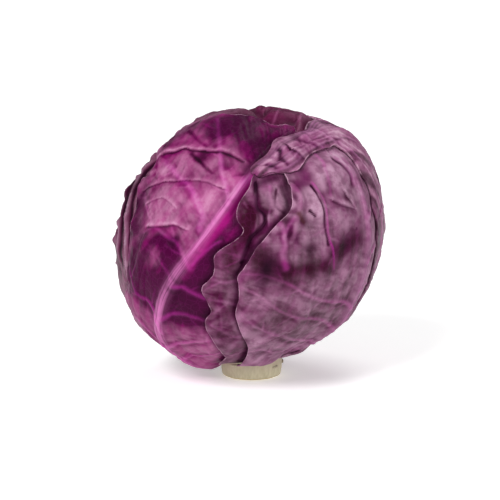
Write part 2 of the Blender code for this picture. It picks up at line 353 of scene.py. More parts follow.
def unit(vectors: Array) -> Array:
    """The vectors, each made one long."""
    return vectors / np.linalg.norm(vectors, axis=-1, keepdims=True)


def smooth(x: Array) -> Array:
    """A smooth step from 0 to 1."""
    x = np.clip(x, 0, 1)
    return x * x * (3 - 2 * x)


def bell(x: Array) -> Array:
    """A bell curve that is 1 at 0."""
    return np.exp(-(x**2))


def through(points: Array, at: Array) -> Array:
    """Read a smooth curve through evenly spaced points.

    Args:
        points: The points, or plain values.
        at: The shares of the curve's length to read it at.

    Returns:
        The curve there.
    """
    points = np.asarray(points, float)
    ends = np.concatenate([[2 * points[0] - points[1]], points, [2 * points[-1] - points[-2]]])
    place = np.clip(np.asarray(at, float), 0, 1) * (len(points) - 1)
    first = np.minimum(place.astype(int), len(points) - 2)
    t = place - first
    if points.ndim > 1:
        t = t[..., None]
    a, b, c, d = (ends[first + i] for i in range(4))
    return b + 0.5 * t * (c - a + t * (2 * a - 5 * b + 4 * c - d + t * (3 * (b - c) + d - a)))


def spread(grid: Array, reach: int, how: str) -> Array:
    """The highest or mean value round each place of a grid.

    Args:
        grid: The values.
        reach: How many places away still counts.
        how: "highest" or "mean".

    Returns:
        A grid of the same size.
    """
    for axis in (0, 1):
        wide = np.pad(grid, [(reach, reach) if i == axis else (0, 0) for i in (0, 1)], mode="edge")
        near = [np.take(wide, range(k, k + grid.shape[axis]), axis) for k in range(2 * reach + 1)]
        grid = np.maximum.reduce(near) if how == "highest" else sum(near) / len(near)
    return grid


class Noise:
    """Smooth noise from -1 to 1 in space, the same on each run."""

    SIDE = 32
    SHIFT = 37.0
    STRAY = 0.45
    SLOPE = 0.6

    def __init__(self, seed: int) -> None:
        """Draw the values at the corners of the noise's cells."""
        self.corners = np.random.default_rng(seed).uniform(-1, 1, (self.SIDE,) * 3)

    def at(self, points: Array, size: float) -> Array:
        """Read the noise.

        Args:
            points: The points.
            size: The size of the noise's cells.

        Returns:
            Its value at each point.
        """
        place = points / size
        cell = np.floor(place).astype(int)
        t = smooth(place - cell)
        total = np.zeros(len(points))
        for corner in np.ndindex(2, 2, 2):
            weight = np.prod(np.where(corner, t, 1 - t), axis=1)
            x, y, z = ((cell + corner) % self.SIDE).T
            total += weight * self.corners[x, y, z]
        return total

    def paired(self, points: Array, coarse: float, fine: float) -> Array:
        """Noise of one size, with noise of a finer one added at half strength."""
        return self.at(points, coarse) + 0.5 * self.at(points, fine)

    def rough(self, points: Array, size: float, layers: int = 3) -> Array:
        """Noise with finer noise added, each layer half the size and strength of the last."""
        return sum(self.at(points + self.SHIFT * i, size / 2**i) / 2**i for i in range(layers))

    def blisters(self, points: Array, size: float) -> Array:
        """Round blisters side by side.

        Args:
            points: The points.
            size: How far apart the blisters' middles are.

        Returns:
            0 at each point on a border between two blisters, and up to 1 well inside one.
        """
        place = points / size
        cell = np.floor(place).astype(int)
        best = np.full(len(points), np.inf)
        second = best.copy()
        for step in np.ndindex(3, 3, 3):
            near = cell + np.array(step) - 1
            x, y, z = (near % (self.SIDE - 1)).T
            corners = self.corners[x, y, z], self.corners[x + 1, y, z], self.corners[x, y + 1, z]
            far = np.linalg.norm(place - near - 0.5 - self.STRAY * np.stack(corners, 1), axis=1)
            second = np.minimum(second, np.maximum(best, far))
            best = np.minimum(best, far)
        return smooth((second - best) / self.SLOPE)


class Course:
    """A line over the head, or one place on it, from which distances are measured."""

    def __init__(self, points: Array) -> None:
        """Keep the line's corners, moved onto a sphere of the head's mean radius."""
        self.points = unit(points) * MEAN_RADIUS

    @classmethod
    def through_places(cls, places: tuple[Place, ...]) -> "Course":
        """Lay a smooth line through places on the head, or take a single one.

        Args:
            places: The places.

        Returns:
            The line.
        """
        corners = np.array([direction(place) for place in places])
        if len(places) > 1:
            corners = through(corners, np.linspace(0, 1, COURSE_STEPS * (len(places) - 1) + 1))
        return cls(corners)

    def near(self, spots: Array, reach: float) -> Array:
        """Find which spots may be near the line.

        Args:
            spots: Points on the same sphere.
            reach: How far off still counts.

        Returns:
            Their numbers.
        """
        middle = self.points.mean(0)
        own = np.linalg.norm(self.points - middle, axis=1).max()
        return np.nonzero(np.linalg.norm(spots - middle, axis=1) < own + reach)[0]

    def measure(self, spots: Array) -> tuple[Array, Array, Array]:
        """Measure how spots lie by the line.

        Args:
            spots: Points on the same sphere.

        Returns:
            How far each is from the line, 1 where it is to its right and -1 to its left, and
            how far along the line the nearest place is, as a share.
        """
        if len(self.points) == 1:
            nothing = np.zeros(len(spots))
            return np.linalg.norm(spots - self.points[0], axis=1), nothing, nothing
        best = np.full(len(spots), np.inf)
        side = np.ones(len(spots))
        share = np.zeros(len(spots))
        for i, (a, b) in enumerate(zip(self.points, self.points[1:])):
            along = b - a
            t = np.clip((spots - a) @ along / (along @ along), 0, 1)
            away = spots - (a + t[:, None] * along)
            far = (away**2).sum(1)
            nearer = far < best
            best = np.where(nearer, far, best)
            side = np.where(nearer, np.sign(away @ np.cross(along, a)), side)
            share = np.where(nearer, (i + t) / (len(self.points) - 1), share)
        return np.sqrt(best), side, share

    def branches(self, rng: np.random.Generator, spacing: float, reach: float) -> list["Course"]:
        """Smaller veins that leave this one on alternate sides, bent towards its end.

        Args:
            rng: The source of their irregularity.
            spacing: How far apart they leave it.
            reach: How long they are.

        Returns:
            Their courses.
        """
        steps = np.linalg.norm(np.diff(self.points, axis=0), axis=1)
        run = np.concatenate([[0], np.cumsum(steps)])
        found = []
        at = spacing * rng.uniform(*BRANCH_FIRST)
        side = rng.choice((-1, 1))
        while at < run[-1] * BRANCH_LAST:
            k = int(np.clip(np.searchsorted(run, at), 1, len(run) - 1))
            ahead = unit(self.points[k] - self.points[k - 1])
            corner = self.points[k - 1] + ahead * (at - run[k - 1])
            across = side * unit(np.cross(ahead, corner))
            turn, bend = rng.uniform(*BRANCH_TURN), rng.uniform(*BRANCH_BEND)
            length = reach * rng.uniform(*BRANCH_LENGTH)
            line = [corner]
            for step in np.linspace(0, 1, BRANCH_STEPS):
                angle = turn + bend * step
                way = ahead * math.cos(angle) + across * math.sin(angle)
                corner = corner + way * length / BRANCH_STEPS
                line.append(corner)
            found.append(Course(np.array(line)))
            at += spacing * rng.uniform(*BRANCH_ROOM)
            side = -side
        return found


@dataclass(frozen=True)
class Mark:
    """A vein, fold, crease, bulge, hollow or patch on a leaf. A place alone makes it round.

    Attributes:
        course: The places that it runs through.
        width: Half its width, or its radius.
        rise: How far the leaf rises along it, or sinks if negative.
        lip: How much higher the leaf stands just left of it than right of it.
        ink: How much of the veins' colour it has.
        flesh: How much more of the bright flesh colour it has, or less if negative.
        bloom: How much more pale wax it has, or less if negative. By a lip, it is a painted
            highlight on the left.
        shade: How much painted shade darkens it. By a lip, it is painted shadow on the right.
        wrinkle: How strongly it is wrinkled.
        scar: How much of it is a brown scar.
        fuse: How far the leaf's rim is lost in it.
        taper: The share of its width and strength that it loses by its end.
        branches: How far apart smaller veins leave it, or 0 where none do.
    """

    course: tuple[Place, ...] = ()
    width: float = 1.0
    rise: float = 0.0
    lip: float = 0.0
    ink: float = 0.0
    flesh: float = 0.0
    bloom: float = 0.0
    shade: float = 0.0
    wrinkle: float = 0.0
    scar: float = 0.0
    fuse: float = 0.0
    taper: float = 0.4
    branches: float = 0.0


SIDE_VEIN = Mark(width=1.5, rise=0.7, ink=0.5, bloom=-0.15, taper=0.7, branches=11.0)
LONG_VEIN = Mark(width=0.8, rise=0.3, ink=0.4, bloom=0.25, taper=0.0)
BRANCH = Mark(width=0.8, rise=0.22, ink=0.25, taper=0.8)
BRANCH_REACH = 16.0


@dataclass(frozen=True)
class LeafFinish:
    """A living red cabbage leaf: purple flesh with paler veins, under a thin grey wax bloom.

    Attributes:
        deep: The flesh where it is darkest.
        flesh: The flesh where it is brightest.
        vein: The veins.
        rib: The top of the midrib, where the purple skin is thin over white flesh.
        bloom: The flesh where the wax bloom is thick.
        hollow: The painted shade in creases, hollows and gaps.
        rim: The leaf's thin rim.
        scar: Scars.
        gloss: How rough the skin is where it is bare.
        dull: How rough it is under thick bloom.
        streak: How strongly it is streaked along the leaf.
    """

    deep: str = "40002E"
    flesh: str = "900E68"
    vein: str = "B02E92"
    rib: str = "CC74B0"
    bloom: str = "BC88A6"
    hollow: str = "1C0214"
    rim: str = "C497B0"
    scar: str = "4A2420"
    gloss: float = 0.4
    dull: float = 0.55
    streak: float = 0.12

    def material(self, name: str) -> bpy.types.Material:
        """Make the waxy leaf skin.

        Wax scatters light, so the bloom is pale, grey and dull, and the bare skin is glossy.
        The cells of the skin are too fine to show, so its grain is drawn at 0.6 mm.

        Args:
            name: The material's name.

        Returns:
            The material.
        """
        made, tree = new_material(name)
        place = add_node(tree, "ShaderNodeTexCoord", output="Object")
        own = {
            key: add_node(tree, "ShaderNodeAttribute", output="Fac", attribute_name=key)
            for key in ("ink", "flesh", "bloom", "shade", "scar", "rib", "rim")
        }
        lie = add_node(tree, "ShaderNodeAttribute", output="Vector", attribute_name="lie")
        lengthwise = add_node(tree, "ShaderNodeMapping", {"Vector": lie, "Scale": (0.035, 1.0, 1.0)})

        noise = {}
        for key, size, detail, vector in (
            ("mottle", 9.0, 4.0, place), ("rubbed", 5.5, 5.0, place), ("flecks", 2.4, 4.0, place),
            ("fine", 1.6, 3.0, place), ("grain", 0.6, 2.0, place),
            ("streaks", 1.8, 2.0, lengthwise), ("bands", 5.0, 1.0, lengthwise),
        ):
            inputs = {"Vector": vector, "Scale": 1 / (size * MM), "Detail": detail, "Roughness": 0.55}
            noise[key] = add_node(tree, "ShaderNodeTexNoise", inputs, output="Fac")
        bent = add_node(tree, "ShaderNodeTexNoise", {"Vector": place, "Scale": 1 / (6 * MM)}, output="Color")
        bent = add_node(
            tree, "ShaderNodeMix", {SHARE: 2.2 * MM, UNDER: place, OVER: bent}, MIXED, data_type="RGBA",
            blend_type="ADD",
        )
        net = add_node(
            tree, "ShaderNodeTexVoronoi", {"Vector": bent, "Scale": 1 / (4.2 * MM)}, output="Distance",
            feature="DISTANCE_TO_EDGE",
        )

        # Each is a source that climbs smoothly between two values.
        share = {}
        for key, source, low, high, bottom, top in (
            ("mottle", noise["mottle"], 0.3, 0.7, -0.12, 0.12),
            ("bands", noise["bands"], 0.35, 0.65, -self.streak, self.streak),
            ("striped", noise["bands"], 0.35, 0.65, 1 - 1.3 * self.streak, 1 + 0.6 * self.streak),
            ("veinlet", net, 0.0, 0.09, 1.0, 0.0),
            ("thin", net, 0.0, 0.09, 0.05, 0.0),
            ("broken", noise["fine"], 0.2, 0.8, 0.7, 1.0),
            ("streaks", noise["streaks"], 0.38, 0.62, 0.35, 1.0),
            ("rubbed", noise["rubbed"], 0.36, 0.62, 0.5, 1.0),
            ("worn", noise["rubbed"], 0.4, 0.62, 0.1, 1.0),
            ("edge", own["rim"], 0.1, 0.6, 0.65, 0.0),
            ("flecks", noise["flecks"], 0.64, 0.78, 0.0, 0.25),
        ):
            inputs = {"Value": source, FROM_LOW: low, FROM_HIGH: high, TO_LOW: bottom, TO_HIGH: top}
            share[key] = add_node(tree, "ShaderNodeMapRange", inputs, interpolation_type="SMOOTHSTEP")

        # The leaf's own values, with a share added or times one.
        own["rim"] = share["edge"]
        for key, operation, other in (
            ("flesh", "ADD", "mottle"), ("flesh", "ADD", "bands"), ("ink", "MULTIPLY", "broken"),
            ("rib", "MULTIPLY", "streaks"), ("bloom", "MULTIPLY", "rubbed"),
            ("bloom", "MULTIPLY", "striped"), ("rim", "MULTIPLY", "worn"),
        ):
            inputs = {0: own[key], 1: share[other]}
            own[key] = add_node(tree, "ShaderNodeMath", inputs, operation=operation)
        colour = cover(tree, linear(self.deep), (
            (own["flesh"], self.flesh), (share["thin"], self.vein), (own["ink"], self.vein),
            (own["rib"], self.rib), (own["bloom"], self.bloom), (share["flecks"], self.deep),
            (own["shade"], self.hollow), (own["scar"], self.scar), (own["rim"], self.rim),
        ))

        inputs = {"Value": own["bloom"], FROM_HIGH: 0.8, TO_LOW: self.gloss, TO_HIGH: self.dull}
        rough = add_node(tree, "ShaderNodeMapRange", inputs)
        relief = 0.0
        for source, weight in (
            (noise["grain"], 0.3), (noise["fine"], 0.5), (share["veinlet"], 0.25), (noise["streaks"], 0.35),
        ):
            inputs = {0: source, 1: weight, 2: relief}
            relief = add_node(tree, "ShaderNodeMath", inputs, operation="MULTIPLY_ADD")
        end_material(tree, colour, rough, relief, depth=0.3, specular=0.05)
        return made


MAGENTA = LeafFinish()
MAUVE = LeafFinish(deep="34061E", flesh="7C2662", vein="9C2C80", rib="B06C9C", bloom="B48CA4")
STREAKED = LeafFinish(
    deep="360824", flesh="7C3062", vein="AC5898", rib="B07C9C", bloom="B890A6", streak=0.5
)
MAROON = LeafFinish(
    deep="34041E", flesh="6E1C4C", vein="8A3C6C", rib="A46C92", bloom="9A788C", streak=0.06
)


@dataclass(frozen=True)
class Texture:
    """How a leaf's blade is puckered.

    Attributes:
        base: How far its sheet stands off what it lies on, on average.
        pillow: How far it bulges between its side veins.
        swell: How far it swells in broad places.
        swell_size: How far apart those are.
        blister: How far it bulges in small, round blisters.
        blister_size: How far apart those are.
        wrinkle: How deep its fine wrinkles are.
        ruffle: How far its edge is ruffled.
        ruffle_size: How long a ruffle is.
        fray: How far the outline of its edge wanders.
    """

    base: float = 0.3
    pillow: float = 0.8
    swell: float = 0.6
    swell_size: float = 26.0
    blister: float = 0.2
    blister_size: float = 8.0
    wrinkle: float = 0.1
    ruffle: float = 1.0
    ruffle_size: float = 9.0
    fray: float = 0.9


@dataclass(frozen=True)
class Leaf:
    """One outer leaf. Its angles are in degrees.

    Attributes:
        name: The node that it stands for.
        slot: The record's material slot for it. It is not used.
        finish: Its skin.
        midrib: The places that its midrib runs through.
        left: The blade's half-widths left of the midrib, at even steps from base to tip.
        right: The same, right of it.
        veins: How many steps its waves are counted in.
        sweep: How far its rows sweep forward.
        scallop: How far its outline waves.
        lift: How far its edge stands off what it lies on.
        wave: How much more than that it does in places.
        mesh: The rows and columns of its outer face, both odd.
        left_veins: The rows at which its side veins leave the midrib on the left.
        right_veins: The same, on the right.
        long_veins: Where veins run along it, as shares of its half-width.
        loose: How loose its left and right edges are.
        drape: How far its edge sinks into the hollows below it, as a share.
        painted_gap_shadow: How much painted shadow it has just outside the edges of the leaves
        that lie over it.
        flesh: How much of its bright flesh colour it has.
        bloom: How much pale wax it has.
        rib: How pale its midrib is.
        rib_side: How far to the right of its middle the midrib is palest, as a share of its half-width.
        texture: How its blade is puckered.
        marks: What is seen in single places on it.
    """

    name: str
    slot: Slot
    finish: LeafFinish
    midrib: tuple[Place, ...]
    left: tuple[float, ...]
    right: tuple[float, ...]
    veins: int
    sweep: float
    scallop: float
    lift: float
    wave: float
    mesh: tuple[int, int]
    left_veins: tuple[float, ...]
    right_veins: tuple[float, ...]
    long_veins: tuple[float, ...] = ()
    loose: tuple[float, float] = (1.0, 1.0)
    drape: float = 0.6
    painted_gap_shadow: float = 0.0
    flesh: float = 0.4
    bloom: float = 0.4
    rib: float = 0.5
    rib_side: float = 0.0
    texture: Texture = Texture()
    marks: tuple[Mark, ...] = ()


class Rib:
    """A leaf's midrib, as a line over the unit sphere."""

    def __init__(self, midrib: tuple[Place, ...]) -> None:
        """Lay the line through the places, and keep even stations along it.

        Args:
            midrib: The places.
        """
        line = unit(through([direction(at) for at in midrib], np.linspace(0, 1, RIB_FINE * RIB_STATIONS)))
        steps = np.arccos(np.clip((line[1:] * line[:-1]).sum(1), -1, 1))
        along = np.concatenate([[0], np.cumsum(steps)])
        self.length = along[-1]
        self.stations = np.linspace(0, 1, RIB_STATIONS)
        even = [np.interp(self.stations * self.length, along, line[:, i]) for i in range(3)]
        self.centre = unit(np.stack(even, 1))
        ahead = np.gradient(self.centre, axis=0)
        ahead -= (ahead * self.centre).sum(1, keepdims=True) * self.centre
        self.ahead = unit(ahead)

    def frame(self, share: Array) -> tuple[Array, Array, Array]:
        """Find places on the midrib.

        Args:
            share: Shares of its length, which may be below 0 or above 1.

        Returns:
            Its places there, and the ways ahead and to the right.
        """
        inside = np.clip(share, 0, 1)
        centre = unit(np.stack([np.interp(inside, self.stations, c) for c in self.centre.T], -1))
        ahead = np.stack([np.interp(inside, self.stations, c) for c in self.ahead.T], -1)
        ahead = unit(ahead - (ahead * centre).sum(-1, keepdims=True) * centre)
        past = ((share - inside) * self.length)[..., None]
        centre, ahead = (
            np.cos(past) * centre + np.sin(past) * ahead,
            np.cos(past) * ahead - np.sin(past) * centre,
        )
        return centre, ahead, np.cross(ahead, centre)

    def out(self, share: Array, angle: Array) -> Array:
        """Find the directions in which places on the leaf lie.

        Args:
            share: Shares of the midrib's length.
            angle: Angles to its right, in radians.

        Returns:
            The directions.
        """
        centre, _, right = self.frame(share)
        angle = angle[..., None]
        return np.cos(angle) * centre + np.sin(angle) * right

    def back(self, directions: Array) -> tuple[Array, Array]:
        """Find where directions lie on the leaf: out the other way round.

        Args:
            directions: The directions.

        Returns:
            Their shares of the midrib's length, and their angles to its right.
        """
        forward = directions @ self.ahead.T
        facing = directions @ self.centre.T
        crossing = (forward[:, :-1] >= 0) & (forward[:, 1:] < 0)
        scored = np.where(crossing, facing[:, :-1], -2.0)
        k = scored.argmax(1)
        each = np.arange(len(k))
        here, there = forward[each, k], forward[each, k + 1]
        part = np.clip(here / np.maximum(here - there, 1e-12), 0, 1)
        share = self.stations[k] + part / (RIB_STATIONS - 1)
        past_tip = 1 + np.arctan2(forward[:, -1], facing[:, -1]) / self.length
        before_base = np.arctan2(forward[:, 0], facing[:, 0]) / self.length
        beyond = np.where(facing[:, -1] > facing[:, 0], past_tip, before_base)
        share = np.where(crossing.any(1), share, beyond)
        centre, _, right = self.frame(share)
        return share, np.arctan2((directions * right).sum(1), (directions * centre).sum(1))


class Shell:
    """The plain form of one leaf over what lies below it, as its solid has it."""

    def __init__(self, leaf: Leaf) -> None:
        """Lay the leaf's midrib.

        Args:
            leaf: The leaf.
        """
        self.leaf = leaf
        self.rib = Rib(leaf.midrib)
        self.reach = self.rib.length * MEAN_RADIUS

    def waves(self, row: Array, angle: Array, veins_each: float) -> Array:
        """Waves from -1 to 1 along the edge on that angle's side of the midrib."""
        return np.sin(2 * math.pi * row * self.leaf.veins / veins_each + np.sign(angle))

    def half_width(self, row: Array, angle: Array) -> Array:
        """Work out the blade's half-width.

        Args:
            row: Rows.
            angle: Angles whose signs say on which side of the midrib.

        Returns:
            The half-widths, in radians.
        """
        width = np.where(angle < 0, through(self.leaf.left, row), through(self.leaf.right, row))
        width = width + self.leaf.scallop * self.waves(row, angle, SCALLOP_VEINS)
        return np.radians(width) * np.sqrt(1 - TIP_ROUND * np.clip(row, 0, 1) ** TIP_ROUND_POWER)

    def share_of(self, row: Array, angle: Array) -> Array:
        """Work out how far along the midrib rows have got at angles from it.

        Args:
            row: Rows.
            angle: Angles from the midrib.

        Returns:
            The shares of the midrib's length there.
        """
        share = row + self.leaf.sweep * np.abs(angle) * row**2
        clasp = np.minimum(CLASP * angle**2, CLASP_MOST) / self.rib.length
        return np.where(share < CLASP_END, (share - clasp) / (1 - clasp / CLASP_END), share)

    def row_of(self, share: Array, angle: Array) -> Array:
        """Find the rows at places: share_of the other way round.

        Args:
            share: Shares of the midrib's length.
            angle: Angles from the midrib.

        Returns:
            The rows there.
        """
        clasp = np.minimum(CLASP * angle**2, CLASP_MOST) / self.rib.length
        share = np.where(share < CLASP_END, share + clasp * (1 - share / CLASP_END), share)
        root = np.sqrt(np.maximum(1 + 4 * self.leaf.sweep * np.abs(angle) * share, 0))
        return 2 * share / (1 + root)

    def rib_half(self, row: Array) -> Array:
        """Half the midrib's width, as an angle at the head's middle."""
        width = BASE_RIB_HALF + (TIP_RIB_HALF - BASE_RIB_HALF) * np.clip(row, 0, 1) ** RIB_NARROWS
        return width / MEAN_RADIUS

    def outside(self, row: Array, angle: Array) -> Array:
        """How far outside the leaf's outline a place is. Inside, this is negative."""
        beside = (np.abs(angle) - self.half_width(row, angle)) * MEAN_RADIUS
        return np.maximum(beside, np.maximum((row - 1) * self.reach, -row * self.reach))

    def faces(self, row: Array, angle: Array, bed: Array, bare: Array) -> tuple[Array, Array, Array]:
        """The leaf's plain inner and outer faces.

        Args:
            row: The rows of the places.
            angle: Their angles from the midrib.
            bed: The radius of what the leaf lies on.
            bare: 1 where no other leaf lies over this one, and 0 where one presses it flat.

        Returns:
            The inner face's radius, the midrib's height on the blade, and the outer face's radius.
        """
        leaf = self.leaf
        inland = smooth(-self.outside(row, angle) / EDGE_BAND)
        waves = 0.5 + 0.5 * self.waves(row, angle, WAVE_VEINS)
        lift = bare * smooth(row / CLASP_END) * (1 - inland) * (leaf.lift + leaf.wave * waves)
        across = np.clip(np.abs(angle) / self.rib_half(row), 0, 1)
        rise = BASE_RIB_RISE + (TIP_RIB_RISE - BASE_RIB_RISE) * np.clip(row, 0, 1) ** RIB_SINKS
        midrib = rise * np.sqrt(1 - across**2) * (1 - PRESSED * (1 - bare))
        inner = bed + GAP + lift
        return inner, midrib, inner + BLADE + midrib


def heart_radius(directions: Array) -> Array:
    """Work out the inner head's form: its long axis leans up from +X, and it is flatter below.

    Args:
        directions: Where to look.

    Returns:
        The inner head's radius there.
    """
    x, y, z = directions.T
    long = x * math.cos(HEART_LEAN) + z * math.sin(HEART_LEAN)
    across = z * math.cos(HEART_LEAN) - x * math.sin(HEART_LEAN)
    radius = 1 / np.linalg.norm(np.stack((long, y, across), -1) / HEART_RADII, axis=-1)
    return radius * (1 - HEART_UNDER * smooth((-z - HEART_UNDER_FROM) / (1 - HEART_UNDER_FROM)))


def bed_and_bare(directions: Array, shells: list[Shell], index: int) -> tuple[Array, Array, Array]:
    """Find what a leaf lies on.

    Args:
        directions: Where to look.
        shells: All the leaves, from the innermost to the outermost.
        index: Which of them it is.

    Returns:
        The radius of the head inside the leaf, how bare the leaf is, from 0 to 1, and how far
        each place is outside the leaves that lie over it.
    """
    places = []
    for shell in shells:
        share, angle = shell.rib.back(directions)
        row = shell.row_of(share, angle)
        places.append((shell, row, angle, shell.outside(row, angle)))
    bare = [np.ones(len(directions))]
    for *_, outside in reversed(places[1:]):
        bare.insert(0, np.minimum(bare[0], 1 - smooth(0.5 - outside / PRESS_BAND)))
    radius = heart_radius(directions)
    for (shell, row, angle, outside), bare_here in zip(places[:index], bare):
        outer = shell.faces(row, angle, radius, bare_here)[2]
        radius = radius + (1 - smooth((outside - OVERHANG) / FADE)) * (outer - radius)
    clear = np.minimum.reduce([np.full(len(directions), FAR)] + [item[3] for item in places[index + 1 :]])
    return radius, bare[index], clear


def at_radius(directions: Array, radii: Array) -> Array:
    """Points in metres at those radii from the head's middle."""
    return (directions * radii[..., None] + np.array((0, 0, HEAD_CENTRE_Z))) * MM


def quads(grid: Array) -> Array:
    """The faces between a grid's corners."""
    return np.stack((grid[:-1, :-1], grid[:-1, 1:], grid[1:, 1:], grid[1:, :-1]), -1).reshape(-1, 4)


def border(grid: Array) -> Array:
    """The corners round a grid's border, with the grid on the left."""
    return np.concatenate((grid[0, :-1], grid[:-1, -1], grid[-1, :0:-1], grid[:0:-1, 0]))


def add_object(name: str, data: bpy.types.ID) -> bpy.types.Object:
    """Make an object of a mesh, a light or a camera, and put it in the scene.

    Args:
        name: The object's name.
        data: The mesh, light or camera.

    Returns:
        The object.
    """
    made = bpy.data.objects.new(name, data)
    bpy.context.scene.collection.objects.link(made)
    return made


def as_object(name: str, points: Array, faces: list, finish: bpy.types.Material) -> bpy.types.Object:
    """Make a smooth object of corners and faces.

    Args:
        name: The object's name.
        points: The corners, in metres.
        faces: The faces, as lists of the corners' numbers.
        finish: Its material.

    Returns:
        The object.
    """
    mesh = bpy.data.meshes.new(name)
    mesh.from_pydata(points.tolist(), [], faces)
    mesh.shade_smooth()
    mesh.materials.append(finish)
    return add_object(name, mesh)


def set_values(mesh: bpy.types.Mesh, name: str, values: Array) -> None:
    """Give a mesh's corners a value, or a vector, for its material to read.

    Args:
        mesh: The mesh.
        name: What the value is called.
        values: One for each corner.
    """
    kind, key = ("FLOAT_VECTOR", "vector") if values.ndim > 1 else ("FLOAT", "value")
    attribute = mesh.attributes.new(name, kind, "POINT")
    attribute.data.foreach_set(key, values.astype(np.float32).ravel())


class Pile:
    """The outer faces of what has been laid so far, for the next leaf to lie on."""

    def __init__(self) -> None:
        """Start with nothing."""
        self.points: list = []
        self.faces: list = []

    def add(self, points: Array, faces: list) -> None:
        """Lay more faces down.

        Args:
            points: Their corners, in metres.
            faces: Lists of the corners' numbers.
        """
        start = len(self.points)
        self.points += points.tolist()
        self.faces += (np.array(faces) + start).tolist()

    def reach(self, directions: Array) -> Array:
        """Find how far from the head's middle the pile reaches.

        Args:
            directions: The directions.

        Returns:
            The pile's radius there, or 0 where it has none.
        """
        tree = BVHTree.FromPolygons(self.points, self.faces)
        middle = Vector((0, 0, HEAD_CENTRE_Z)) * MM
        reach = np.zeros(len(directions))
        for i, way in enumerate(directions.tolist()):
            way = Vector(way)
            hit = tree.ray_cast(middle + way * FAR * MM, -way)[0]
            if hit:
                reach[i] = (hit - middle).length / MM
        return reach


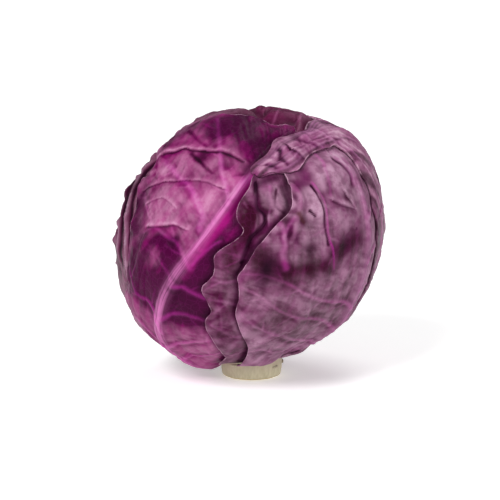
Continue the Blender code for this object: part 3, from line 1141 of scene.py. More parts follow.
class Blade:
    """A leaf's fine mesh, with its relief and its colour worked out at each corner."""

    INKS = ("ink", "flesh", "bloom", "shade", "wrinkle", "scar", "fuse")

    def __init__(self, shells: list[Shell], index: int) -> None:
        """Spread the mesh's corners over the leaf.

        Args:
            shells: All the leaves, from the innermost to the outermost.
            index: Which of them this is.
        """
        self.shell = shells[index]
        self.leaf = self.shell.leaf
        self.noise = Noise(NOISE_SEED + index)
        self.rng = np.random.default_rng(BRANCH_SEED + index)
        self.size = self.leaf.mesh
        rows, columns = self.size
        side = np.linspace(-1, 1, columns)
        side = (1 - CROWDING) * side + CROWDING * np.sin(side * math.pi / 2)
        row, side = (part.ravel() for part in np.meshgrid(np.linspace(0, 1, rows), side, indexing="ij"))
        width = self.shell.half_width(row, side)
        self.row, self.angle = row, side * width
        edge = self.shell.rib.out(self.shell.share_of(row, self.angle), self.angle) * MEAN_RADIUS
        fray = self.leaf.texture.fray * self.noise.paired(edge, *FRAY_SIZES)
        self.angle = self.angle + np.sign(side) * np.abs(side) ** FRAY_EDGE * fray / MEAN_RADIUS
        blunt = self.shell.half_width(np.ones(1), np.ones(1))[0] * MEAN_RADIUS
        drawn_back = blunt * (1 - np.sqrt(1 - (BLUNT * side) ** 2)) * row**BLUNT_TIP
        self.row = row + (row**FRAY_TIP * fray - drawn_back) / self.shell.reach
        self.rim = np.minimum((1 - np.abs(side)) * width * MEAN_RADIUS, (1 - row) * self.shell.reach)
        self.rim = np.minimum(self.rim, row * self.shell.reach)
        self.directions = self.shell.rib.out(self.shell.share_of(self.row, self.angle), self.angle)
        self.spots = self.directions * MEAN_RADIUS
        wander = [self.noise.paired(self.spots + SHIFT_AXES * i, *WANDER_SIZES) for i in range(3)]
        self.wandering = self.spots + WANDER * np.stack(wander, 1)
        self.bed, self.bare, clear = bed_and_bare(self.directions, shells, index)
        self.free = smooth((clear + FREE_FROM) / FREE_BAND)
        # Painted shadow just outside the edges of the leaves that lie over this one.
        self.painted_gap_shadow = self.leaf.painted_gap_shadow * bell((clear - PAINTED_GAP_SHADOW[0]) / PAINTED_GAP_SHADOW[1])
        self.sheet = np.zeros(len(row))
        self.raised = np.zeros(len(row))
        self.off_veins = np.full(len(row), VEIN_FAR)
        self.ink = {key: np.zeros(len(row)) for key in self.INKS}

    def side_veins(self) -> list[Course]:
        """Lay the veins that leave the midrib and run out to the edge, curving forwards.

        Returns:
            Their courses.
        """
        found = []
        share = np.linspace(0.0, VEIN_END, SIDE_VEIN_CORNERS)
        for sign, rows in ((-1.0, self.leaf.left_veins), (1.0, self.leaf.right_veins)):
            for start in rows:
                waves = VEIN_WAVE * np.sin(VEIN_WAVES * share + VEIN_SHIFT * start)
                row = start + VEIN_CURVE * np.sqrt(share) * (1 - start) + waves
                angle = sign * share * self.shell.half_width(row, np.full_like(row, sign))
                found.append(Course(self.shell.rib.out(self.shell.share_of(row, angle), angle)))
        return found

    def long_veins(self) -> list[Course]:
        """Lay the veins that run along the leaf beside its midrib.

        Returns:
            Their courses.
        """
        row = np.linspace(LONG_VEIN_START, VEIN_END, LONG_VEIN_CORNERS)
        found = []
        for part in self.leaf.long_veins:
            angle = part * self.shell.half_width(row, np.full_like(row, part))
            found.append(Course(self.shell.rib.out(self.shell.share_of(row, angle), angle)))
        return found

    def draw(self, course: Course, mark: Mark) -> None:
        """Add one mark to the leaf's relief and colour.

        Args:
            course: Where it runs.
            mark: What it is like.
        """
        near = course.near(self.spots, MARK_WIDTHS * mark.width + MARK_PAST)
        far, side, share = course.measure(self.wandering[near])
        uneven = self.noise.at(self.spots[near] + SHIFT_MARKS, UNEVEN_SIZE)
        strength = (1 - mark.taper * share) * (1 + UNEVEN * uneven)
        width = mark.width * (1 - NARROWS * mark.taper * share)
        body = bell(far / width) * strength
        across = far * side / width
        if mark.lip:
            step = smooth(0.5 - across) * bell(np.minimum(across, 0) / LIP_SLOPE) * strength
            self.sheet[near] += mark.lip * step
            # Painted shadow on one side of the lip and a painted highlight, laid as wax, on the other.
            for key, (middle, wide) in (("shade", LIP_SHADE), ("bloom", LIP_HIGHLIGHT)):
                self.ink[key][near] += getattr(mark, key) * bell((across - middle) / wide) * strength
        else:
            self.ink["shade"][near] += mark.shade * body
            self.ink["bloom"][near] += mark.bloom * body
        relief = self.raised if mark.ink else self.sheet
        relief[near] += mark.rise * body
        for key in ("flesh", "wrinkle", "scar", "fuse"):
            self.ink[key][near] += getattr(mark, key) * body
        self.ink["ink"][near] = np.maximum(self.ink["ink"][near], mark.ink * body)
        if mark.branches:
            around = course.near(self.spots, VEIN_FAR)
            away = course.measure(self.spots[around])[0]
            self.off_veins[around] = np.minimum(self.off_veins[around], away)
            for branch in course.branches(self.rng, mark.branches, BRANCH_REACH):
                self.draw(branch, BRANCH)

    def pucker(self, loose: Array, tip: Array) -> Array:
        """Work out how far the blade stands off what it lies on.

        Args:
            loose: How loose its edges are.
            tip: How near its tip each corner is, from 0 to 1.

        Returns:
            The height of its sheet, without its veins, in millimetres.
        """
        texture, noise, spots = self.leaf.texture, self.noise, self.spots
        inland = smooth(self.rim / INLAND)
        swell = 0.5 + 0.5 * noise.rough(spots, texture.swell_size, 2)
        furrowed = 1 - bell(self.off_veins / VEIN_FURROW)
        pillow = furrowed * (PILLOW + PILLOW_UNEVEN * noise.at(spots, PILLOW_SIZE))
        wrinkle = texture.wrinkle * (1 + WRINKLED * self.ink["wrinkle"])
        along = self.row * self.shell.reach
        crosswise = np.stack((along, WRINKLE_STRETCH * self.angle * MEAN_RADIUS, 0 * self.row), 1)
        fine = 1 - 2 * np.abs(noise.rough(crosswise + WRINKLE_STRAY * self.wandering, WRINKLE_SIZE))
        sheet = (
            texture.base + texture.swell * swell + texture.pillow * pillow * inland + self.sheet
            + texture.blister * noise.blisters(spots, texture.blister_size) + wrinkle * fine
        )
        above = 0.5 * (sheet + np.sqrt(sheet**2 + SOFT_FLOOR))
        sheet = above * (COVERED + (1 - COVERED) * self.free) * smooth(self.row / FLAT_BASE)
        ruffle = noise.paired(spots, texture.ruffle_size, texture.ruffle_size / 2)
        ruffle = texture.ruffle * (RUFFLED + ruffle) * (1 - inland) * self.free * loose
        return sheet + np.maximum(ruffle, 0) * smooth(self.row / CLASP_END) * (1 - TIP_FLAT * tip)

    def spread_out(self, values: Array, reach: int, *how: str) -> Array:
        """Take the highest or mean value round each corner of the mesh, once or more.

        Args:
            values: A value for each corner.
            reach: How many corners away still counts.
            *how: "highest" or "mean", each in turn.

        Returns:
            A value for each corner.
        """
        grid = values.reshape(self.size)
        for each in how:
            grid = spread(grid, reach, each)
        return grid.ravel()

    def work_out(self, pile: Pile) -> None:
        """Draw the veins and marks, pucker the blade, and lay it on the pile.

        Args:
            pile: What the leaf lies on.
        """
        leaf = self.leaf
        for course in self.side_veins():
            self.draw(course, SIDE_VEIN)
        for course in self.long_veins():
            self.draw(course, LONG_VEIN)
        for mark in leaf.marks:
            self.draw(Course.through_places(mark.course), mark)

        loose = np.where(self.angle < 0, *leaf.loose)
        tip = smooth((self.row - TIP_FROM) / (1 - TIP_FROM))
        sheet = self.pucker(loose, tip)
        inner, midrib, _ = self.shell.faces(self.row, self.angle, self.bed, self.bare * loose)
        reach = pile.reach(self.directions) + CLEARANCE
        floor = self.spread_out(reach, FLOOR_REACH, "highest", "mean")
        drape = leaf.drape + (1 - leaf.drape) * tip
        draped = drape * smooth(DRAPE_FROM - self.rim / DRAPE_BAND)
        inner = inner - draped * np.maximum(inner - floor, 0) + sheet

        more = self.spread_out(np.maximum(reach - inner, 0), LIFT_REACH, "highest")
        inner = inner + self.spread_out(more, LIFT_REACH, "mean")
        thick = RIM_BLADE + (BLADE - RIM_BLADE) * smooth(self.rim / RIM_BAND)
        shown = COVERED_VEINS + (1 - COVERED_VEINS) * self.free
        veins = self.raised * smooth(self.rim / VEIN_BAND) * shown
        rib = midrib * smooth(self.rim / RIB_BAND)
        self.outer = inner + thick + rib + np.maximum(veins, DEEPEST)
        over = np.maximum(inner - reach, 0)
        closed = drape**CLOSED_POWER * smooth(CLOSED_FROM - self.rim / CLOSED_BAND)
        self.inner = inner - closed * np.where(over < OPEN, over, 0)

        height = sheet + veins + more
        self.colour(height - self.spread_out(height, LIFT_REACH, "mean", "mean"))

    def colour(self, fold: Array) -> None:
        """Work out how much of each colour the blade has.

        Args:
            fold: How far each corner stands over those round it, in millimetres.
        """
        leaf, ink = self.leaf, self.ink
        crest, hollow = np.clip(fold / FOLD, 0, 1), np.clip(-fold / FOLD, 0, 1)
        across = self.angle / self.shell.rib_half(self.row) - leaf.rib_side
        width = RIB_PALE - RIB_NARROWER * abs(leaf.rib_side)
        ink["rib"] = leaf.rib * bell(across / width) * smooth(self.rim / RIB_PALE_BAND)
        ink["rib"] *= 1 - smooth((self.row - RIB_FADES[0]) / RIB_FADES[1])
        ink["rim"] = self.rim + FUSED * ink["fuse"]
        strength, size = FLESH_PATCHES
        ink["flesh"] += leaf.flesh + strength * self.noise.rough(self.spots, size) + CREST_FLESH * crest
        strength, size = WAX_PATCHES
        wax = leaf.bloom * (1 + strength * self.noise.rough(self.spots + SHIFT_WAX, size))
        wax += CREST_WAX * crest
        wax -= HOLLOW_WAX * hollow
        # Painted shade in the hollows and in the gaps outside the leaves over this one, on top of the
        # marks'; below, painted shade also takes the wax off.
        ink["shade"] = np.clip(ink["shade"] + HOLLOW_SHADE * hollow + self.painted_gap_shadow, 0, MOST)
        wax += np.maximum(ink["bloom"], 0) - RIB_BARE * ink["rib"]
        kept = np.clip(1 + MARK_BARE * np.minimum(ink["bloom"], 0), 0, 1)
        ink["bloom"] = np.clip(wax, 0, MOST) * (kept * (1 - SHADE_BARE * ink["shade"]))

    def build(self, pile: Pile) -> bpy.types.Object:
        """Build the leaf: a fine outer face, an inner face with half the corners, and a rim.

        Args:
            pile: What the leaf lies on, to which it is added.

        Returns:
            The leaf.
        """
        self.work_out(pile)
        outer = np.arange(self.row.size).reshape(self.size)
        kept = outer[::2, ::2].ravel()
        inner = np.arange(kept.size).reshape(outer[::2, ::2].shape) + outer.size
        points = np.concatenate((
            at_radius(self.directions, self.outer), at_radius(self.directions[kept], self.inner[kept])
        ))
        skin = quads(outer).tolist()
        fine, coarse = border(outer), border(inner)
        start, middle, end = fine[::2], fine[1::2], np.roll(fine[::2], -1)
        below, next_below = coarse, np.roll(coarse, -1)
        corners = (middle, start, below), (middle, below, next_below), (end, middle, next_below)
        rim = np.concatenate([np.stack(triangle, -1) for triangle in corners])
        faces = skin + quads(inner)[:, ::-1].tolist() + rim.tolist()
        finish = self.leaf.finish.material(self.leaf.name)
        made = as_object(self.leaf.name + "_blade", points, faces, finish)
        lie = np.zeros((self.row.size, 3))
        lie[:, 0] = self.row * self.shell.reach * MM
        lie[:, 1] = self.angle * MEAN_RADIUS * MM
        for key, values in {**self.ink, "lie": lie}.items():
            set_values(made.data, key, np.concatenate((values, values[kept])))
        pile.add(points[: outer.size], skin)
        return made


BACK_RIGHT_MARKS = (
    Mark(((20, 82), (40, 74), (60, 66)), 20.0, 3.6, taper=0.0),
    Mark(((60, 88), (30, 76)), 24.0, flesh=-0.25, bloom=-0.7, taper=0.0),
)

LEFT_TIP_MARKS = (
    Mark(((-60, 62), (-30, 72), (0, 72)), 14.0, flesh=-0.35, bloom=-0.6, taper=0.0),
    Mark(((-84, 50), (-88, 20), (-84, -10)), 12.0, flesh=-0.25, bloom=-0.3, taper=0.0),
    Mark(((-84, 46), (-88, 32), (-91, 18)), 10.0, 1.6, taper=0.0),
    Mark(((-90, 2), (-87, -12)), 10.0, -1.2, taper=0.0),
    # The painted shadows in the gaps under the margins of the leaves over it, and the folds beside
    # them, each with painted shadow on its low side and a painted highlight on its high side.
    Mark(
        ((-71, 43), (-75, 34), (-77, 26), (-76, 22), (-70, 13), (-66, 1), (-65, -10)), 1.7, -0.7,
        shade=1.0, bloom=-1.0, taper=0.1,
    ),
    Mark(
        ((-84, 45), (-86, 35), (-85, 22), (-80, 13), (-76, 4), (-74, -8)), 2.2, -0.7, shade=1.0,
        bloom=-1.0, taper=0.1,
    ),
    Mark(
        ((-78, 38), (-79, 30), (-79, 20), (-75, 12), (-71, 2), (-69, -8)), 0.9, lip=1.4, shade=1.0,
        bloom=0.5, taper=0.1,
    ),
    Mark(
        ((-87, 36), (-88, 25), (-85, 14), (-80, 4), (-78, -6)), 0.8, lip=1.1, shade=0.9, bloom=0.4,
        taper=0.1,
    ),
)

FRONT_LEFT_MARKS = (
    # Main veins on the left of the midrib, from the top one down.
    Mark(
        ((-11, 25), (-14, 34), (-17, 42), (-20, 49), (-26, 58), (-42, 69)), 1.6, 0.35, ink=0.6,
        branches=12,
    ),
    Mark(
        ((-23, 14), (-22, 20), (-27, 27), (-35, 33), (-40, 35), (-50, 39), (-58, 41)), 2.2, 0.5, ink=0.7,
        branches=12,
    ),
    Mark(
        ((-26, -3), (-33, 6), (-38, 9), (-44, 12), (-51, 16), (-57, 20), (-64, 25)), 1.4, 0.3, ink=0.3,
        branches=12,
    ),
    Mark(((-34, -10), (-41, -1), (-48, 2)), 1.2, 0.3, ink=0.2),
    Mark(((-25, -1), (-18, 6), (-13, 9)), 1.1, 0.3, ink=0.5),
    # The creases across them, whose upper sides stand over their lower ones, each with painted
    # shadow below it and a painted highlight above it, and two sunk folds with painted shade in them.
    Mark(
        ((-63, 44), (-55, 47), (-49, 49), (-39, 49), (-27, 49), (-20, 49), (-12, 47), (-5, 45)), 0.9,
        lip=1.1, shade=0.8, bloom=0.35, taper=0.2,
    ),
    Mark(
        ((-65, 26), (-60, 29), (-55, 31), (-48, 33), (-42, 34), (-33, 35), (-26, 35), (-20, 34), (-14, 32)),
        0.7, lip=0.5, shade=0.5, bloom=0.2,
    ),
    Mark(((-57, 21), (-52, 23), (-47, 25), (-42, 24), (-37, 22)), 0.6, lip=0.3, shade=0.3, bloom=0.2),
    Mark(((-50, 12), (-44, 13), (-38, 14), (-34, 14), (-30, 13)), 0.9, lip=0.8, shade=0.6, bloom=0.4),
    Mark(((-60, 58), (-39, 54), (-30, 51)), 1.4, -0.5, shade=0.3),
    Mark(((-40, 47), (-30, 43), (-22, 39)), 1.5, -0.7, shade=0.5),
    # Bulges under thick bloom.
    Mark(((-45, 18),), 13.0, 1.8, bloom=0.35),
    Mark(((-44, 42),), 8.0, 1.3, bloom=0.15),
    Mark(((-15, 52),), 9.0, 1.3, bloom=-0.1, flesh=-0.1),
    Mark(((-23, 26),), 8.0, 0.9, bloom=0.3, flesh=0.5),
    Mark(((-12, 36),), 7.0, 0.3, flesh=0.5, bloom=0.1),
    Mark(((-55, 38),), 6.0, 0.9, bloom=0.25),
    Mark(((-50, 64),), 8.0, 0.8),
    Mark(((-49, 4),), 6.5, 0.7, flesh=-0.3, bloom=-0.7),
    Mark(((-33, 2),), 5.0, 0.5),
    # Hollows, most with painted shade in them.
    Mark(((-31, 46),), 5.0, -1.0, shade=0.3),
    Mark(((-56, 28),), 4.0, -0.7, shade=0.25),
    Mark(((-13, 42),), 4.0, -0.6, shade=0.15),
    Mark(((-36, 7),), 4.0, -0.5, shade=0.2),
    Mark(((-24, 3),), 4.0, -0.4),
    # The pale end of the midrib, by the next leaf's tip.
    Mark(((-1, 37), (-6, 33), (-10, 28)), 2.0, 0.3, ink=0.7, bloom=0.3, taper=0.0),
    # Bare magenta skin on the midrib's right, and dark purple beside it and further down, where the
    # lowest part is also darkened as painted shadow.
    Mark(((1, 38), (-5, 28), (-19, 8), (-27, -2)), 2.8, flesh=0.7, bloom=-2.0, taper=0.3),
    Mark(((-30, -14), (-17, 1), (-5, 16)), 7.0, flesh=-0.15, bloom=-1.2, taper=0.0),
    Mark(((-52, -14), (-34, -22), (-10, -20)), 14.0, flesh=-0.8, bloom=-1.2, taper=0.0),
    Mark(((-42, 7), (-37, 1), (-40, -8)), 6.5, flesh=-0.6, bloom=-1.0, taper=0.0),
    Mark(((-36, 6), (-33, -4), (-36, -12)), 5.0, flesh=-0.5, bloom=-0.8, taper=0.0),
    Mark(((-14, 7), (-21, -4), (-27, -12)), 6.0, flesh=-0.45, bloom=-0.5, taper=0.0),
    # Painted shadow low on the leaf.
    Mark(((-36, -14), (-30, -20)), 9.0, shade=0.35, taper=0.0),
    Mark(((-58, -6),), 12.0, flesh=-0.5, bloom=-0.4),
    Mark(((-64, 64), (-72, 52), (-70, 38), (-62, 20), (-56, 8)), 7.0, flesh=-0.5, bloom=-0.15, taper=0.0),
    Mark(((-44, 64), (-30, 62)), 9.0, flesh=-0.5, bloom=-0.6, taper=0.0),
    Mark(((-67, 24), (-61, 8), (-57, -6)), 6.0, flesh=-0.3, bloom=-0.5, shade=0.2, taper=0.0),
    Mark(((-62, 1), (-66, 13), (-72, 22), (-73, 27), (-71, 35), (-67, 43)), 1.2, bloom=0.8, taper=0.0),
    # The dark, wrinkled part that runs up under the next leaf's tip.
    Mark(((-18, 68), (0, 62), (8, 52)), 13.0, flesh=-0.55, bloom=-1.5, shade=0.25, wrinkle=0.7, taper=0.0),
    Mark(((4, 52), (6, 44)), 7.0, flesh=-0.3, bloom=-0.9, shade=0.15, wrinkle=0.7, taper=0.0),
    Mark(((25, 66), (35, 60)), 9.0, flesh=-0.4, bloom=-1.0, wrinkle=0.4, taper=0.0),
)

FRONT_MIDDLE_MARKS = (
    Mark(((-3, 25), (-1, 23), (2, 21), (2, 17), (1, 13)), 1.2, 0.9, bloom=0.25),
    # A deep crease, sunk on its left, with painted shadow along it and a painted highlight beside it.
    Mark(
        ((3, 33), (3, 29), (3, 24), (6, 21), (6, 17), (2, 13), (0, 11), (-2, 6), (-4, 1)), 1.3,
        lip=-1.8, shade=0.9, bloom=0.15, taper=0.1,
    ),
    Mark(((9, 32), (9, 28), (9, 25), (8, 21), (8, 16)), 0.9, 0.4, ink=0.5),
    # A groove with painted shade in it.
    Mark(((12, 31), (11, 27), (11, 24), (15, 21)), 0.8, -0.5, shade=0.3),
    Mark(((7, 27),), 4.0, 0.8, bloom=0.1),
    Mark(((14, 25),), 4.5, 1.0, bloom=0.3),
    Mark(((6, 31),), 4.0, 0.7),
    Mark(((7, 19),), 4.0, 0.8, bloom=0.1),
    Mark(((-2, 18),), 5.0, 0.9, flesh=-0.1),
    Mark(((-2, 23),), 4.0, 0.6),
    Mark(((-2, 21), (-3, 12), (-8, 2)), 7.0, flesh=-0.3, bloom=-0.8, taper=0.0),
    Mark(((3, 33), (9, 33)), 4.0, flesh=0.15, bloom=0.1, taper=0.0),
    Mark(((14, 28), (14, 24)), 4.0, bloom=0.4, taper=0.0),
    Mark(((-4, 25), (0, 22), (-2, 15)), 4.0, flesh=-0.2, bloom=-0.6, shade=0.1, taper=0.0),
)

FRONT_RIGHT_MARKS = (
    Mark(
        ((30, 32), (32, 29), (34, 25), (34, 21), (34, 16), (34, 10), (36, 4), (38, -4)), 0.7, 0.35,
        ink=1.0, bloom=-0.5, taper=0.1, branches=10,
    ),
    # A groove beside it, with painted shade in it.
    Mark(((29, 31), (31, 27), (32.6, 21), (32.6, 14), (34, 6)), 0.8, -0.5, shade=0.5, taper=0.1),
    Mark(((40, 46), (40, 43), (39, 36), (39, 30), (38, 26)), 1.1, 0.2, ink=0.7, bloom=-0.3, branches=10),
    Mark(
        ((15, -2), (13, 4), (14, 8), (14, 14), (12, 17), (9, 19)), 1.9, 0.8, ink=0.4, flesh=0.4,
        bloom=-0.2,
    ),
    Mark(((14, 11), (16, 15), (19, 19)), 1.6, 0.6, ink=0.5, flesh=0.3),
    # A hollow with painted shade in it.
    Mark(((49, 41), (52, 37), (54, 32), (53, 29)), 2.2, -1.0, shade=0.25),
    Mark(((19, 31), (22, 27), (22, 22), (20, 17), (19, 13), (17, 9)), 2.2, 2.0, bloom=-0.3, flesh=0.2),
    Mark(
        ((53, 45), (55, 34), (57, 25), (58, 16), (59, 8)), 2.6, 0.2, ink=0.4, bloom=0.3, flesh=0.4,
        taper=0.1,
    ),
    # Two lips, each with painted shadow on its low side and a painted highlight on its high side, then a
    # scar, a crease, a dot, dark places and hollows, each with painted shade in it.
    Mark(((39, 24), (43, 22), (47, 20), (50, 19)), 0.8, lip=0.7, shade=0.4, bloom=0.3),
    Mark(((46, 26), (48, 23), (51, 19)), 0.8, lip=0.6, shade=0.3, bloom=0.2),
    Mark(((21, 20), (22, 18), (23, 17)), 1.6, -0.5, scar=0.8, shade=0.3),
    Mark(((26, 21), (28, 19)), 0.7, -0.8, shade=0.9),
    Mark(((51, 11),), 0.9, -0.3, shade=0.6),
    Mark(((27, 35), (22, 32)), 5.0, -1.2, shade=0.35, bloom=-0.7, flesh=0.5),
    Mark(((18, 11),), 4.0, -1.0, shade=0.3),
    Mark(((25, 6),), 6.0, -0.8, shade=0.35, bloom=-0.2),
    Mark(((7, 2), (9, -8)), 6.0, flesh=-0.2, shade=0.35, taper=0.0),
    Mark(((43, 6),), 7.0, -0.7, shade=0.2),
    Mark(((26, 39),), 4.0, -0.7, shade=0.3),
    # Bulges.
    Mark(((34, 34),), 6.0, 1.1, bloom=0.3),
    Mark(((29, 23),), 6.0, 1.4, bloom=0.3),
    Mark(((44, 32),), 8.0, 1.4, bloom=0.3),
    Mark(((43, 15),), 7.0, 1.0, bloom=-0.1),
    Mark(((24, 11),), 6.0, 1.0),
    Mark(((42, 37),), 5.0, 0.8, bloom=0.15),
    Mark(((10, 8),), 5.0, 0.9),
    # Painted shadow low on the leaf, with less flesh and wax there.
    Mark(((4, 4), (12, -3), (20, -4), (32, -3)), 8.0, flesh=-0.4, bloom=-0.8, shade=0.15, taper=0.0),
    Mark(((40, 3), (52, 7)), 6.5, flesh=-0.3, bloom=-0.8, shade=0.2, taper=0.0),
    # Along the margin of the leaf over it, less painted shade and a little more wax, which paint light over
    # the dark gap there.
    Mark(((66, 35), (69, 24), (71, 13), (72, -2)), 3.0, shade=-0.5, bloom=0.15, taper=0.0),
    # Painted shadow in the gap at its lower left.
    Mark(((8, 2), (4, -8)), 4.0, shade=0.5, taper=0.0),
    # Darker towards the bottom.
    Mark(((20, -30), (60, -30)), 20.0, flesh=-0.4, bloom=-0.3, taper=0.0),
)

RIGHT_TOP_MARKS = (
    Mark(((39, 55), (42, 51), (47, 47)), 1.2, 0.5, ink=0.6),
    Mark(((54, 58), (59, 52), (63, 47), (64, 38)), 1.3, 0.5, ink=0.6),
    # A groove with painted shade in it.
    Mark(((33, 54), (33, 51), (35, 47), (36, 44)), 0.9, -0.5, shade=0.4),
    # Bumps.
    Mark(((6, 40),), 3.5, 1.3, bloom=0.15),
    Mark(((10, 43),), 3.0, 1.3, bloom=0.2),
    Mark(((14, 47),), 3.0, 1.4, bloom=0.2),
    Mark(((20, 50),), 3.0, 1.4, bloom=0.25),
    Mark(((27, 52),), 3.5, 1.2, bloom=0.2),
    Mark(((36, 55),), 4.0, 0.9, bloom=0.1),
    Mark(((10, 37),), 4.0, 1.4, bloom=0.1),
    Mark(((21, 44),), 4.5, 1.3, bloom=0.1),
    Mark(((27, 48),), 3.5, 0.9, bloom=0.05),
    Mark(((33, 48),), 4.0, 1.0),
    # Folds on the tongue, with painted shade in them; the lip also has a painted highlight on its high side.
    Mark(((8, 41), (12, 40)), 1.6, -1.1, shade=0.5),
    Mark(((17, 48), (16, 44), (19, 41)), 1.7, -1.2, shade=0.5),
    Mark(((23, 50), (25, 47), (30, 44)), 1.0, lip=0.9, shade=0.6, bloom=0.15),
    Mark(((32, 53), (37, 51), (43, 48)), 1.4, -0.8, shade=0.35, flesh=0.4),
    # Along its right edge, paler wax that is partly the real bloom and partly a painted sheen.
    Mark(((66, 66), (72, 50), (80, 30), (84, 8)), 6.0, bloom=0.35, flesh=0.1, taper=0.0),
    Mark(((10, 42), (25, 50), (38, 53)), 9.0, bloom=-0.32, taper=0.0),
    # The broad swelling of its shoulder.
    Mark(((40, 66), (56, 66), (68, 62)), 14.0, 1.6, taper=0.0),
    # Where its rim is lost in the leaves under it.
    Mark(((-1, 38), (8, 37), (16, 38)), 4.0, fuse=1.0, taper=0.0),
    Mark(((3, 42), (8, 47), (14, 51), (25, 55), (39, 58)), 3.0, fuse=0.6, bloom=0.2, taper=0.0),
    # Here the rim also gets a little wax, which paints light over the dark gap under it.
    Mark(((70, 27), (71, 14), (73, -4), (76, -25)), 6.0, bloom=0.15, fuse=0.8, taper=0.0),
)

BLISTERED = Texture(pillow=0.7, swell=1.4, swell_size=17, blister=0.25, blister_size=9, wrinkle=0.12)

